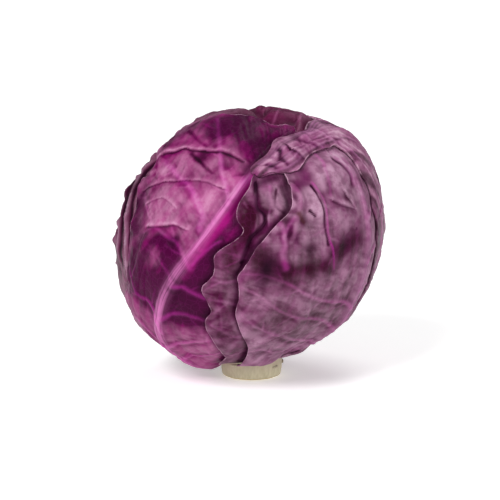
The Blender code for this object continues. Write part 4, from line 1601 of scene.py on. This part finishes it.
# From the innermost to the outermost.
LEAVES = (
    Leaf(
        name="leaf_back_right", slot=Slot.MAROON, finish=MAROON,
        midrib=((158, -73.5), (160, -48), (163, -15), (166, 25), (170, 60), (100, 86), (10, 66)),
        left=(20, 36, 50, 56, 54, 46, 36, 24),
        right=(20, 36, 50, 54, 52, 44, 36, 24),
        veins=9, sweep=0.35, scallop=1.5, lift=1.0, wave=1.0, mesh=(221, 181),
        left_veins=(0.06, 0.14, 0.23, 0.32, 0.42, 0.52, 0.62, 0.72),
        right_veins=(0.08, 0.17, 0.26, 0.36, 0.46, 0.56, 0.66, 0.76),
        long_veins=(-0.75, -0.5, -0.25, 0.25, 0.5, 0.75), flesh=0.5, bloom=0.15,
        marks=BACK_RIGHT_MARKS,
    ),
    Leaf(
        name="leaf_back_left", slot=Slot.MAROON, finish=MAROON,
        midrib=((-150, -73.5), (-149, -48), (-147, -15), (-145, 20), (-145, 50), (-150, 72)),
        left=(20, 36, 50, 54, 52, 46, 34, 22),
        right=(20, 38, 54, 62, 60, 50, 36, 22),
        veins=8, sweep=0.45, scallop=1.8, lift=0.8, wave=0.9, mesh=(201, 191),
        left_veins=(0.07, 0.16, 0.26, 0.37, 0.48, 0.6, 0.72),
        right_veins=(0.05, 0.13, 0.22, 0.32, 0.43, 0.55, 0.67),
        flesh=0.5, bloom=0.18, texture=Texture(ruffle=0.4), drape=1.0,
        marks=(Mark(((-60, 75), (10, 75)), 20.0, flesh=-0.3, bloom=-0.6, taper=0.0),),
    ),
    Leaf(
        name="leaf_left_inner", slot=Slot.MAROON, finish=MAROON,
        midrib=((-72, -73.5), (-66, -50), (-59, -24), (-51, 2), (-42, 27), (-31, 50), (0, 70)),
        left=(20, 24, 28, 30, 32, 33, 36, 43, 44, 44, 42, 38, 34, 31, 26),
        right=(20, 28, 34, 36, 34, 28, 22, 16),
        veins=8, sweep=0.40, scallop=1.5, lift=0.9, wave=1.2, mesh=(221, 141),
        left_veins=(0.08, 0.18, 0.29, 0.4, 0.51, 0.62, 0.74),
        right_veins=(0.2, 0.4, 0.6, 0.75),
        flesh=0.45, bloom=0.3, texture=Texture(ruffle=1.7, ruffle_size=6, fray=2.0), drape=0.5, painted_gap_shadow=0.8,
        marks=LEFT_TIP_MARKS,
    ),
    Leaf(
        name="leaf_left_outer", slot=Slot.MAROON, finish=MAROON,
        midrib=((-82, -73.5), (-75, -50), (-65, -25), (-53, 0), (-40, 24), (-24, 47), (8, 66)),
        left=(20, 24, 27, 28, 29, 30, 32, 42, 37, 36, 38, 42, 38, 31, 24),
        right=(20, 26, 32, 34, 32, 26, 20, 16),
        veins=8, sweep=0.40, scallop=1.2, lift=0.9, wave=1.2, mesh=(221, 141),
        left_veins=(0.1, 0.2, 0.31, 0.42, 0.53, 0.65, 0.77),
        right_veins=(0.2, 0.4, 0.6, 0.75),
        flesh=0.45, bloom=0.3, texture=Texture(ruffle=1.9, ruffle_size=6, fray=1.9), drape=0.3, painted_gap_shadow=0.8,
        marks=LEFT_TIP_MARKS,
    ),
    Leaf(
        name="leaf_front_left", slot=Slot.MAGENTA, finish=MAGENTA,
        midrib=((-66, -73.5), (-58, -52), (-49, -34), (-38, -15), (-21, 8), (-8, 28), (8, 47), (40, 60)),
        left=(20, 22, 24, 24, 24, 24, 35, 51, 50, 50, 53, 49, 39, 27, 18, 11, 8),
        right=(20, 34, 46, 48, 46, 42, 34, 22, 10),
        veins=8, sweep=0.50, scallop=0.6, lift=1.2, wave=1.0, mesh=(281, 221),
        left_veins=(0.08, 0.17, 0.27), right_veins=(0.1, 0.2, 0.31, 0.41),
        flesh=0.5, bloom=0.26, rib=0.8, rib_side=-0.35, painted_gap_shadow=0.5,
        texture=Texture(ruffle=1.6, ruffle_size=7), marks=FRONT_LEFT_MARKS,
    ),
    Leaf(
        name="leaf_front_middle", slot=Slot.MAUVE, finish=MAUVE,
        midrib=((20, -73.5), (22, -55), (24, -36), (25, -16), (24, 4), (21, 23), (14, 41)),
        left=(18, 19, 23, 30, 38, 41, 43, 43, 41, 36, 28, 26, 22, 19, 18),
        right=(20, 32, 36, 38, 36, 30, 22, 12),
        veins=8, sweep=0.35, scallop=1.8, lift=1.4, wave=1.6, mesh=(221, 161),
        left_veins=(0.1, 0.22, 0.35, 0.48, 0.6), right_veins=(0.15, 0.3, 0.45, 0.6),
        flesh=0.35, bloom=0.2, painted_gap_shadow=0.5, texture=BLISTERED, marks=FRONT_MIDDLE_MARKS,
    ),
    Leaf(
        name="leaf_front_right", slot=Slot.MAUVE, finish=MAUVE,
        midrib=((56, -73.5), (57, -52), (58, -31), (59, -9), (60, 13), (60, 32), (60, 50)),
        left=(20, 25, 36, 54, 60, 63, 63, 60, 55, 49, 38, 36, 34, 24, 16),
        right=(20, 34, 44, 46, 44, 40, 34, 22),
        veins=9, sweep=0.40, scallop=0.5, lift=1.8, wave=2.4, mesh=(241, 241),
        left_veins=(0.08, 0.17, 0.27, 0.37), right_veins=(0.1, 0.21, 0.33, 0.45, 0.57, 0.7),
        flesh=0.45, bloom=0.47, texture=BLISTERED, marks=FRONT_RIGHT_MARKS,
    ),
    Leaf(
        name="leaf_right_top", slot=Slot.MAUVE, finish=STREAKED,
        midrib=(
            (98, -73.5), (101, -48), (104, -20), (105, 8), (100, 34),
            (80, 52), (50, 54.5), (23, 48.5), (2, 38),
        ),
        left=(18, 20, 22, 25, 28, 31, 33, 34, 35, 35, 34, 32, 29, 23, 17, 9, 7, 8, 10, 9, 9),
        right=(18, 27, 34, 40, 44, 46, 47, 47, 46, 45, 42, 38, 31, 23, 13, 7, 5, 6, 7, 6, 8),
        veins=12, sweep=0.15, scallop=1.0, lift=0.3, wave=0.6, mesh=(421, 161),
        left_veins=(0.07, 0.15, 0.24, 0.34, 0.44), right_veins=(0.06, 0.14, 0.23, 0.32, 0.42, 0.52),
        long_veins=(-0.75, -0.5, -0.25, 0.18, 0.35, 0.55, 0.75), loose=(0.15, 0.1), drape=1.0,
        flesh=0.5, bloom=0.24, texture=Texture(blister=0.3, fray=1.2), marks=RIGHT_TOP_MARKS,
    ),
)


@dataclass
class InnerHead:
    """The dense inner head, of which a little shows between the leaves' bases.

    Attributes:
        detail: How often its mesh is divided.
        sunk: How far it lies under the head's plain form.
        flesh: How much of its bright flesh colour it has.
        bloom: How much pale wax it has.
        rim: How far inland of a rim its skin counts as.
        finish: Its skin.
    """

    detail: int = 5
    sunk: float = 0.5
    flesh: float = 0.3
    bloom: float = 0.3
    rim: float = 9.0
    finish: LeafFinish = MAROON

    def build(self) -> bpy.types.Object:
        """Build the inner head, cut flat below, where the stalk runs up into it.

        Returns:
            The inner head.
        """
        work = bmesh.new()
        bmesh.ops.create_icosphere(work, subdivisions=self.detail, radius=1)
        directions = np.array([v.co[:] for v in work.verts])
        faces = [[v.index for v in face.verts] for face in work.faces]
        work.free()
        directions = unit(directions)
        points = at_radius(directions, heart_radius(directions) - self.sunk)
        points[:, 2] = np.maximum(points[:, 2], SOCKET_Z * MM)
        made = as_object("inner_head_leaves", points, faces, self.finish.material("inner_head"))
        for key, value in (("flesh", self.flesh), ("bloom", self.bloom), ("rim", self.rim)):
            set_values(made.data, key, np.full(len(points), value))
        return made


@dataclass(frozen=True)
class StalkFinish:
    """Cut cabbage stalk: pale green-white flesh under a thin, tougher skin, dry where cut.

    Attributes:
        skin: Its skin, and the start of the woody ring in its cut face.
        tinge: Its skin towards the leaves.
        flesh: Its flesh, which shows through its skin too.
        pith: The middle of its cut face.
        dry: Where it is cut and dry.
        wood: The woody bundles in its cut face.
        bark: The scars that fallen leaves left.
    """

    skin: str = "B9AE86"
    tinge: str = "7A3A62"
    flesh: str = "E9E2C4"
    pith: str = "F2EEDC"
    dry: str = "B79A68"
    wood: str = "A88E5C"
    bark: str = "7E6650"

    def material(self) -> bpy.types.Material:
        """Make the stalk's skin, with a purple tinge towards the leaves.

        Returns:
            The material.
        """
        made, tree = new_material("stalk_skin")
        place = add_node(tree, "ShaderNodeTexCoord", output="Object")
        height = add_node(tree, "ShaderNodeSeparateXYZ", {0: place}, output="Z")
        stretched = add_node(tree, "ShaderNodeMapping", {"Vector": place, "Scale": (1.0, 1.0, 0.25)})
        inputs = {"Vector": stretched, "Scale": 1 / (1.2 * MM), "Detail": 4.0}
        fibre = add_node(tree, "ShaderNodeTexNoise", inputs)
        inputs = {"Value": height, FROM_LOW: 4 * MM, FROM_HIGH: 16 * MM, TO_LOW: 0.0, TO_HIGH: 0.8}
        up = add_node(tree, "ShaderNodeMapRange", inputs)
        inputs = {"Value": height, FROM_LOW: 0.2 * MM, FROM_HIGH: 1.4 * MM, TO_LOW: 0.8, TO_HIGH: 0.0}
        cut = add_node(tree, "ShaderNodeMapRange", inputs)
        tinged = add_node(tree, "ShaderNodeMath", {0: up, 1: fibre}, operation="MULTIPLY")
        layers = (fibre, self.flesh), (tinged, self.tinge), (cut, self.dry)
        end_material(tree, cover(tree, linear(self.skin), layers), 0.6, fibre, depth=0.3)
        return made

    def bead_material(self, name: str, hexcode: str) -> bpy.types.Material:
        """Make the dry, fibrous tissue of a bundle or a scar, mottled at 1 mm.

        Args:
            name: The material's name.
            hexcode: Its colour.

        Returns:
            The material.
        """
        made, tree = new_material(name)
        place = add_node(tree, "ShaderNodeTexCoord", output="Object")
        mottle = add_node(tree, "ShaderNodeTexNoise", {"Vector": place, "Scale": 1 / MM, "Detail": 4.0})
        colour = cover(tree, linear(hexcode), ((mottle, self.flesh),))
        end_material(tree, colour, 0.75, mottle, depth=0.2)
        return made

    def cut_material(self) -> bpy.types.Material:
        """Make the cut face: pale pith inside a ring of woody tissue, drying at its edge.

        Returns:
            The material.
        """
        made, tree = new_material("stalk_cut")
        place = add_node(tree, "ShaderNodeTexCoord", output="Object")
        flat = add_node(tree, "ShaderNodeMapping", {"Vector": place, "Scale": (1.0, 1.0, 0.0)})
        radius = add_node(tree, "ShaderNodeVectorMath", {0: flat}, output="Value", operation="LENGTH")
        inputs = {"Vector": place, "Scale": 1 / (2.0 * MM), "Detail": 5.0}
        mottle = add_node(tree, "ShaderNodeTexNoise", inputs)
        inputs = {0: mottle, 1: 3 * MM, 2: radius}
        ragged = add_node(tree, "ShaderNodeMath", inputs, operation="MULTIPLY_ADD")
        layers = []
        for low, high, hexcode in ((10, 12.5, self.skin), (13.5, 15, self.flesh), (17.5, 19.5, self.dry)):
            inputs = {"Value": ragged, FROM_LOW: low * MM, FROM_HIGH: high * MM}
            layers.append((add_node(tree, "ShaderNodeMapRange", inputs), hexcode))
        colour = cover(tree, linear(self.pith), layers)
        end_material(tree, colour, 0.7, mottle, depth=0.3, strength=0.4)
        return made


@dataclass
class Stalk:
    """The cut stub of the stalk, with shallow flutes and a flat cut face.

    Attributes:
        profile: The radius and height of its outline, from the cut face's edge to its top.
        inner_rings: How many rings of corners the cut face has.
        top_rings: The radii of those on its top.
        sides: How many corners a ring has.
        flutes: How many flutes it has.
        flute: How deep they are.
        rough: How rough its surface is.
        rough_size: The size of that roughness.
        seed: Its seed.
        hollow: How much higher the middle of the cut face is than its edge.
        hollow_edge: The radii at which that begins, inwards, and is complete.
        face_edge: The same for all of the cut face's unevenness.
        peak: The height of the cut face's middle corner.
        low: How high a face can be and still belong to the cut face.
        finish: Its finish.
    """

    profile: tuple[tuple[float, float], ...] = (
        (17.0, 0.0), (17.6, 0.25), (18.2, 0.8), (18.5, 2.2), (18.8, 4.0), (18.95, 6.5), (19.0, 9.0),
        (18.9, 11.0), (18.8, 13.0), (18.5, 15.2), (18.2, 17.0),
    )
    inner_rings: int = 16
    top_rings: tuple[float, ...] = (12.0, 6.0)
    sides: int = 160
    flutes: int = 10
    flute: float = 0.3
    rough: float = 0.12
    rough_size: float = 4.0
    seed: int = 5
    hollow: float = 0.25
    hollow_edge: tuple[float, float] = (16, 13)
    face_edge: tuple[float, float] = (16.5, 14.5)
    peak: float = 0.35
    low: float = 0.6
    finish: StalkFinish = StalkFinish()

    def build_rings(self) -> list[bpy.types.Object]:
        """Build the woody bundles on the cut face, and the scars that fallen leaves left round it.

        Returns:
            Their rings.
        """
        wood = self.finish.bead_material("stalk_wood", self.finish.wood)
        bark = self.finish.bead_material("stalk_scar", self.finish.bark)
        rings = (
            BeadRing("stalk_bundles", 38, 13.6, 0.42, (0.5, 0.5, 0.05), (0.9, 0.42, 0.3), 3, wood),
            BeadRing("stalk_inner_bundles", 24, 10.8, 0.42, (0.7, 0.7, 0.05), (0.5, 0.3, 0.25), 4, wood),
            BeadRing("stalk_leaf_scars", 9, 18.9, 8.0, (0.1, 0.1, 3.6), (0.6, 3.8, 0.9), 6, bark),
        )
        return [ring.build() for ring in rings]

    def build(self) -> bpy.types.Object:
        """Build the stub as rings of corners, from the middle of its cut face to its top.

        Returns:
            The stub.
        """
        turn = np.linspace(0, 2 * math.pi, self.sides, endpoint=False)
        noise = Noise(self.seed)
        face_radius, face_height = self.profile[0]
        top_height = self.profile[-1][1]
        inner = np.linspace(0, face_radius, self.inner_rings + 2)[1:-1]
        rings = [(radius, face_height) for radius in inner]
        rings += list(self.profile) + [(radius, top_height) for radius in self.top_rings]
        outwards = np.stack((np.cos(turn), np.sin(turn), np.zeros_like(turn)), 1)
        points = []
        for radius, height in rings:
            fluted = self.flute * (0.5 + 0.5 * np.cos(self.flutes * turn))
            inwards = fluted * min(radius / face_radius, 1) ** 4
            ring = outwards * (radius - inwards)[:, None]
            ring[:, 2] = height
            rough = self.rough * noise.rough(ring, self.rough_size)
            if height > 0:
                ring[:, :2] *= (1 + rough / radius)[:, None]
            else:
                begins, ends = self.hollow_edge
                hollow = self.hollow * smooth((begins - radius) / (begins - ends))
                begins, ends = self.face_edge
                ring[:, 2] += (hollow + np.abs(rough)) * smooth((begins - radius) / (begins - ends))
            points.append(ring)
        points = np.concatenate(points + [[(0, 0, self.peak), (0, 0, top_height)]])
        grid = np.arange(len(rings) * self.sides).reshape(len(rings), -1)
        bottom, top = grid.size, grid.size + 1
        grid = np.concatenate((grid, grid[:, :1]), 1)
        faces = quads(grid).tolist()
        faces += [(bottom, b, a) for a, b in zip(grid[0], grid[0][1:])]
        faces += [(top, a, b) for a, b in zip(grid[-1], grid[-1][1:])]
        made = as_object("stalk_stub", points * MM, faces, self.finish.material())
        made.data.materials.append(self.finish.cut_material())
        heights = points[:, 2]
        for polygon in made.data.polygons:
            if max(heights[i] for i in polygon.vertices) < self.low and polygon.normal.z < -0.5:
                polygon.material_index = 1
        return made


@dataclass
class BeadRing:
    """A ring of flat, uneven beads round the stalk's axis, made with Geometry Nodes.

    Attributes:
        name: The piece's name.
        count: How many beads there are.
        radius: The ring's radius.
        height: The ring's height.
        stray: How far a bead strays from the ring, at most, along each axis.
        bead: A bead's half-sizes, away from the axis, round it and up.
        seed: The seed of what differs from bead to bead.
        finish: Their finish.
        smallest: A bead's least size along each axis, as a share.
        largest: Its greatest.
    """

    name: str
    count: int
    radius: float
    height: float
    stray: tuple[float, float, float]
    bead: tuple[float, float, float]
    seed: int
    finish: bpy.types.Material
    smallest: tuple[float, float, float] = (0.7, 0.6, 0.9)
    largest: tuple[float, float, float] = (1.2, 1.3, 1.1)

    def tree(self) -> bpy.types.NodeTree:
        """Make the node tree that strews the beads.

        Returns:
            The tree.
        """
        tree = bpy.data.node_groups.new(self.name, "GeometryNodeTree")
        kinds = {
            "Count": "Int", "Radius": "Float", "Height": "Vector", "Stray": "Vector",
            "Bead": "Vector", "Seed": "Int", "Finish": "Material",
        }
        for name, kind in kinds.items():
            tree.interface.new_socket(name, in_out="INPUT", socket_type="NodeSocket" + kind)
        tree.interface.new_socket("Geometry", in_out="OUTPUT", socket_type="NodeSocketGeometry")
        given = {name: add_node(tree, "NodeGroupInput", output=name) for name in kinds}
        inputs = {"Vertices": given["Count"], "Radius": given["Radius"]}
        ring = add_node(tree, "GeometryNodeMeshCircle", inputs)
        ring = add_node(tree, "GeometryNodeSetPosition", {"Geometry": ring, "Offset": given["Height"]})
        place = add_node(tree, "GeometryNodeInputPosition")
        level = add_node(tree, "ShaderNodeVectorMath", {0: place, 1: (1.0, 1.0, 0.0)}, operation="MULTIPLY")
        facing = add_node(tree, "FunctionNodeAlignRotationToVector", {"Vector": level}, axis="X")
        low = add_node(tree, "ShaderNodeVectorMath", {0: given["Stray"], "Scale": -1.0}, operation="SCALE")
        inputs = {0: low, 1: given["Stray"], "Seed": given["Seed"]}
        stray = add_node(tree, "FunctionNodeRandomValue", inputs, data_type="FLOAT_VECTOR")
        ring = add_node(tree, "GeometryNodeSetPosition", {"Geometry": ring, "Offset": stray})
        inputs = {0: self.smallest, 1: self.largest, "Seed": given["Seed"]}
        uneven = add_node(tree, "FunctionNodeRandomValue", inputs, data_type="FLOAT_VECTOR")
        size = add_node(tree, "ShaderNodeVectorMath", {0: given["Bead"], 1: uneven}, operation="MULTIPLY")
        bead = add_node(tree, "GeometryNodeMeshIcoSphere", {"Radius": 1.0, "Subdivisions": 2})
        inputs = {"Points": ring, "Instance": bead, "Rotation": facing, "Scale": size}
        beads = add_node(tree, "GeometryNodeInstanceOnPoints", inputs)
        beads = add_node(tree, "GeometryNodeRealizeInstances", {"Geometry": beads})
        beads = add_node(tree, "GeometryNodeSetMaterial", {"Geometry": beads, "Material": given["Finish"]})
        add_node(tree, "NodeGroupOutput", {"Geometry": beads})
        return tree

    def build(self) -> bpy.types.Object:
        """Build the ring as one plain mesh.

        Returns:
            The ring.
        """
        tree = self.tree()
        base = add_object(self.name + "_base", bpy.data.meshes.new(self.name + "_base"))
        modifier = base.modifiers.new(self.name, "NODES")
        modifier.node_group = tree
        values = {
            "Count": self.count, "Radius": self.radius * MM, "Height": (0.0, 0.0, self.height * MM),
            "Stray": [size * MM for size in self.stray], "Bead": [size * MM for size in self.bead],
            "Seed": self.seed, "Finish": self.finish,
        }
        for item in tree.interface.items_tree:
            if item.in_out == "INPUT":
                modifier[item.identifier] = values[item.name]
        graph = bpy.context.evaluated_depsgraph_get()
        mesh = bpy.data.meshes.new_from_object(base.evaluated_get(graph), depsgraph=graph)
        bpy.data.objects.remove(base)
        mesh.shade_smooth()
        return add_object(self.name, mesh)


@dataclass
class Studio:
    """The pale floor, the soft light and the camera.

    Attributes:
        distance: How far the camera is from the head's middle, in metres.
        pitch: How steeply it looks down.
        pixels: Its focal length, in pixels of the photograph.
        size: How many pixels wide the photograph is.
        sensor: How wide the sensor is.
        middle: The head's middle, in metres.
        off_centre: How far right of and above the picture's middle that is seen, in pixels.
        floor: Half the floor's width, in metres.
        under: How far the floor is under the head, in metres.
        glow: How far from the head the floor's own light starts and stops to grow, in metres.
        glows: How strong that light is at those two places.
        haze: How strong the light from all round is.
    """

    distance: float = 1.2
    pitch: float = math.radians(11)
    pixels: float = 1978.0
    size: int = 500
    sensor: float = 36.0
    middle: tuple[float, float, float] = (0.0, 0.0, 0.084)
    off_centre: tuple[float, float] = (1.5, 11.0)
    floor: float = 12.0
    under: float = 0.0003
    glow: tuple[float, float] = (0.5, 2.5)
    glows: tuple[float, float] = (0.36, 1.0)
    haze: float = 0.23

    def build_floor(self) -> bpy.types.Object:
        """Lay a plain pale floor, lit more strongly far off, so that it stays white to its end.

        Returns:
            The floor.
        """
        made, tree = new_material("studio_floor")
        place = add_node(tree, "ShaderNodeTexCoord", output="Object")
        away = add_node(tree, "ShaderNodeVectorMath", {0: place}, output="Value", operation="LENGTH")
        (near, far), (dim, full) = self.glow, self.glows
        inputs = {"Value": away, FROM_LOW: near, FROM_HIGH: far, TO_LOW: dim, TO_HIGH: full}
        glow = add_node(tree, "ShaderNodeMapRange", inputs)
        look = {
            "Base Color": linear("F6F6F6"), "Roughness": 0.6, "Emission Color": (1, 1, 1, 1),
            "Emission Strength": glow,
        }
        skin = add_node(tree, "ShaderNodeBsdfPrincipled", look)
        add_node(tree, "ShaderNodeOutputMaterial", {"Surface": skin})
        corners = np.array(((-1, -1, 0), (1, -1, 0), (1, 1, 0), (-1, 1, 0)))
        points = corners * self.floor - (0, 0, self.under)
        floor = as_object("studio_floor", points, [(0, 1, 2, 3)], made)
        return floor

    def build_lights(self) -> None:
        """Hang the soft lights and light the room evenly."""
        for name, place, size, power in (
            ("key", (-0.8, -1.2, 1.3), 0.7, 32.0),
            ("fill", (1.5, -0.9, 0.8), 1.2, 8.0),
            ("top", (0.3, 0.5, 1.6), 1.0, 12.0),
        ):
            light = bpy.data.lights.new(name, "AREA")
            light.size, light.energy = size, power
            lamp = add_object(name, light)
            lamp.location = place
            way = Vector(self.middle) - Vector(place)
            lamp.rotation_euler = way.to_track_quat("-Z", "Y").to_euler()
        world = bpy.data.worlds.new("studio")
        world.use_nodes = True
        world.node_tree.nodes.clear()
        inputs = {"Color": (1, 1, 1, 1), "Strength": self.haze}
        air = add_node(world.node_tree, "ShaderNodeBackground", inputs)
        add_node(world.node_tree, "ShaderNodeOutputWorld", {"Surface": air})
        bpy.context.scene.world = world
        bpy.context.scene.view_settings.view_transform = "Standard"

    def build_camera(self) -> bpy.types.Object:
        """Stand the camera where the photograph was taken from.

        Returns:
            The camera.
        """
        middle = Vector(self.middle)
        back = Vector((0, -math.cos(self.pitch), math.sin(self.pitch)))
        right = Vector((1, 0, 0))
        up = right.cross(-back)
        data = bpy.data.cameras.new("camera")
        data.sensor_width = self.sensor
        data.lens = self.pixels / self.size * self.sensor
        camera = add_object("camera", data)
        camera.location = middle + back * self.distance
        per_pixel = self.distance / self.pixels
        beside, above = (pixels * per_pixel for pixels in self.off_centre)
        aim = middle - right * beside - up * above
        camera.rotation_euler = (aim - camera.location).to_track_quat("-Z", "Y").to_euler()
        bpy.context.scene.camera = camera
        return camera


def fit(piece: bpy.types.Object, node: str) -> None:
    """Put a piece in a node's place on the head.

    Args:
        piece: The piece.
        node: The node that it stands for.
    """
    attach(piece, "root")
    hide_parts(node)
    LOG.info("%s: %d faces for %s", piece.name, len(piece.data.polygons), node)


def main() -> None:
    """Set the studio up, then build the head from the inside out."""
    logging.basicConfig(level=logging.INFO, format="%(name)s %(relativeCreated)d ms: %(message)s")
    studio = Studio()
    studio.build_camera()
    studio.build_lights()
    studio.build_floor()

    heart = InnerHead().build()
    fit(heart, "inner_head")
    stalk = Stalk()
    fit(stalk.build(), "stalk")
    for ring in stalk.build_rings():
        fit(ring, "stalk")
    pile = Pile()
    points = np.array([v.co[:] for v in heart.data.vertices])
    pile.add(points, [list(polygon.vertices) for polygon in heart.data.polygons])
    shells = [Shell(leaf) for leaf in LEAVES]
    for index, leaf in enumerate(LEAVES):
        fit(Blade(shells, index).build(pile), leaf.name)


if __name__ == "__main__":
    main()
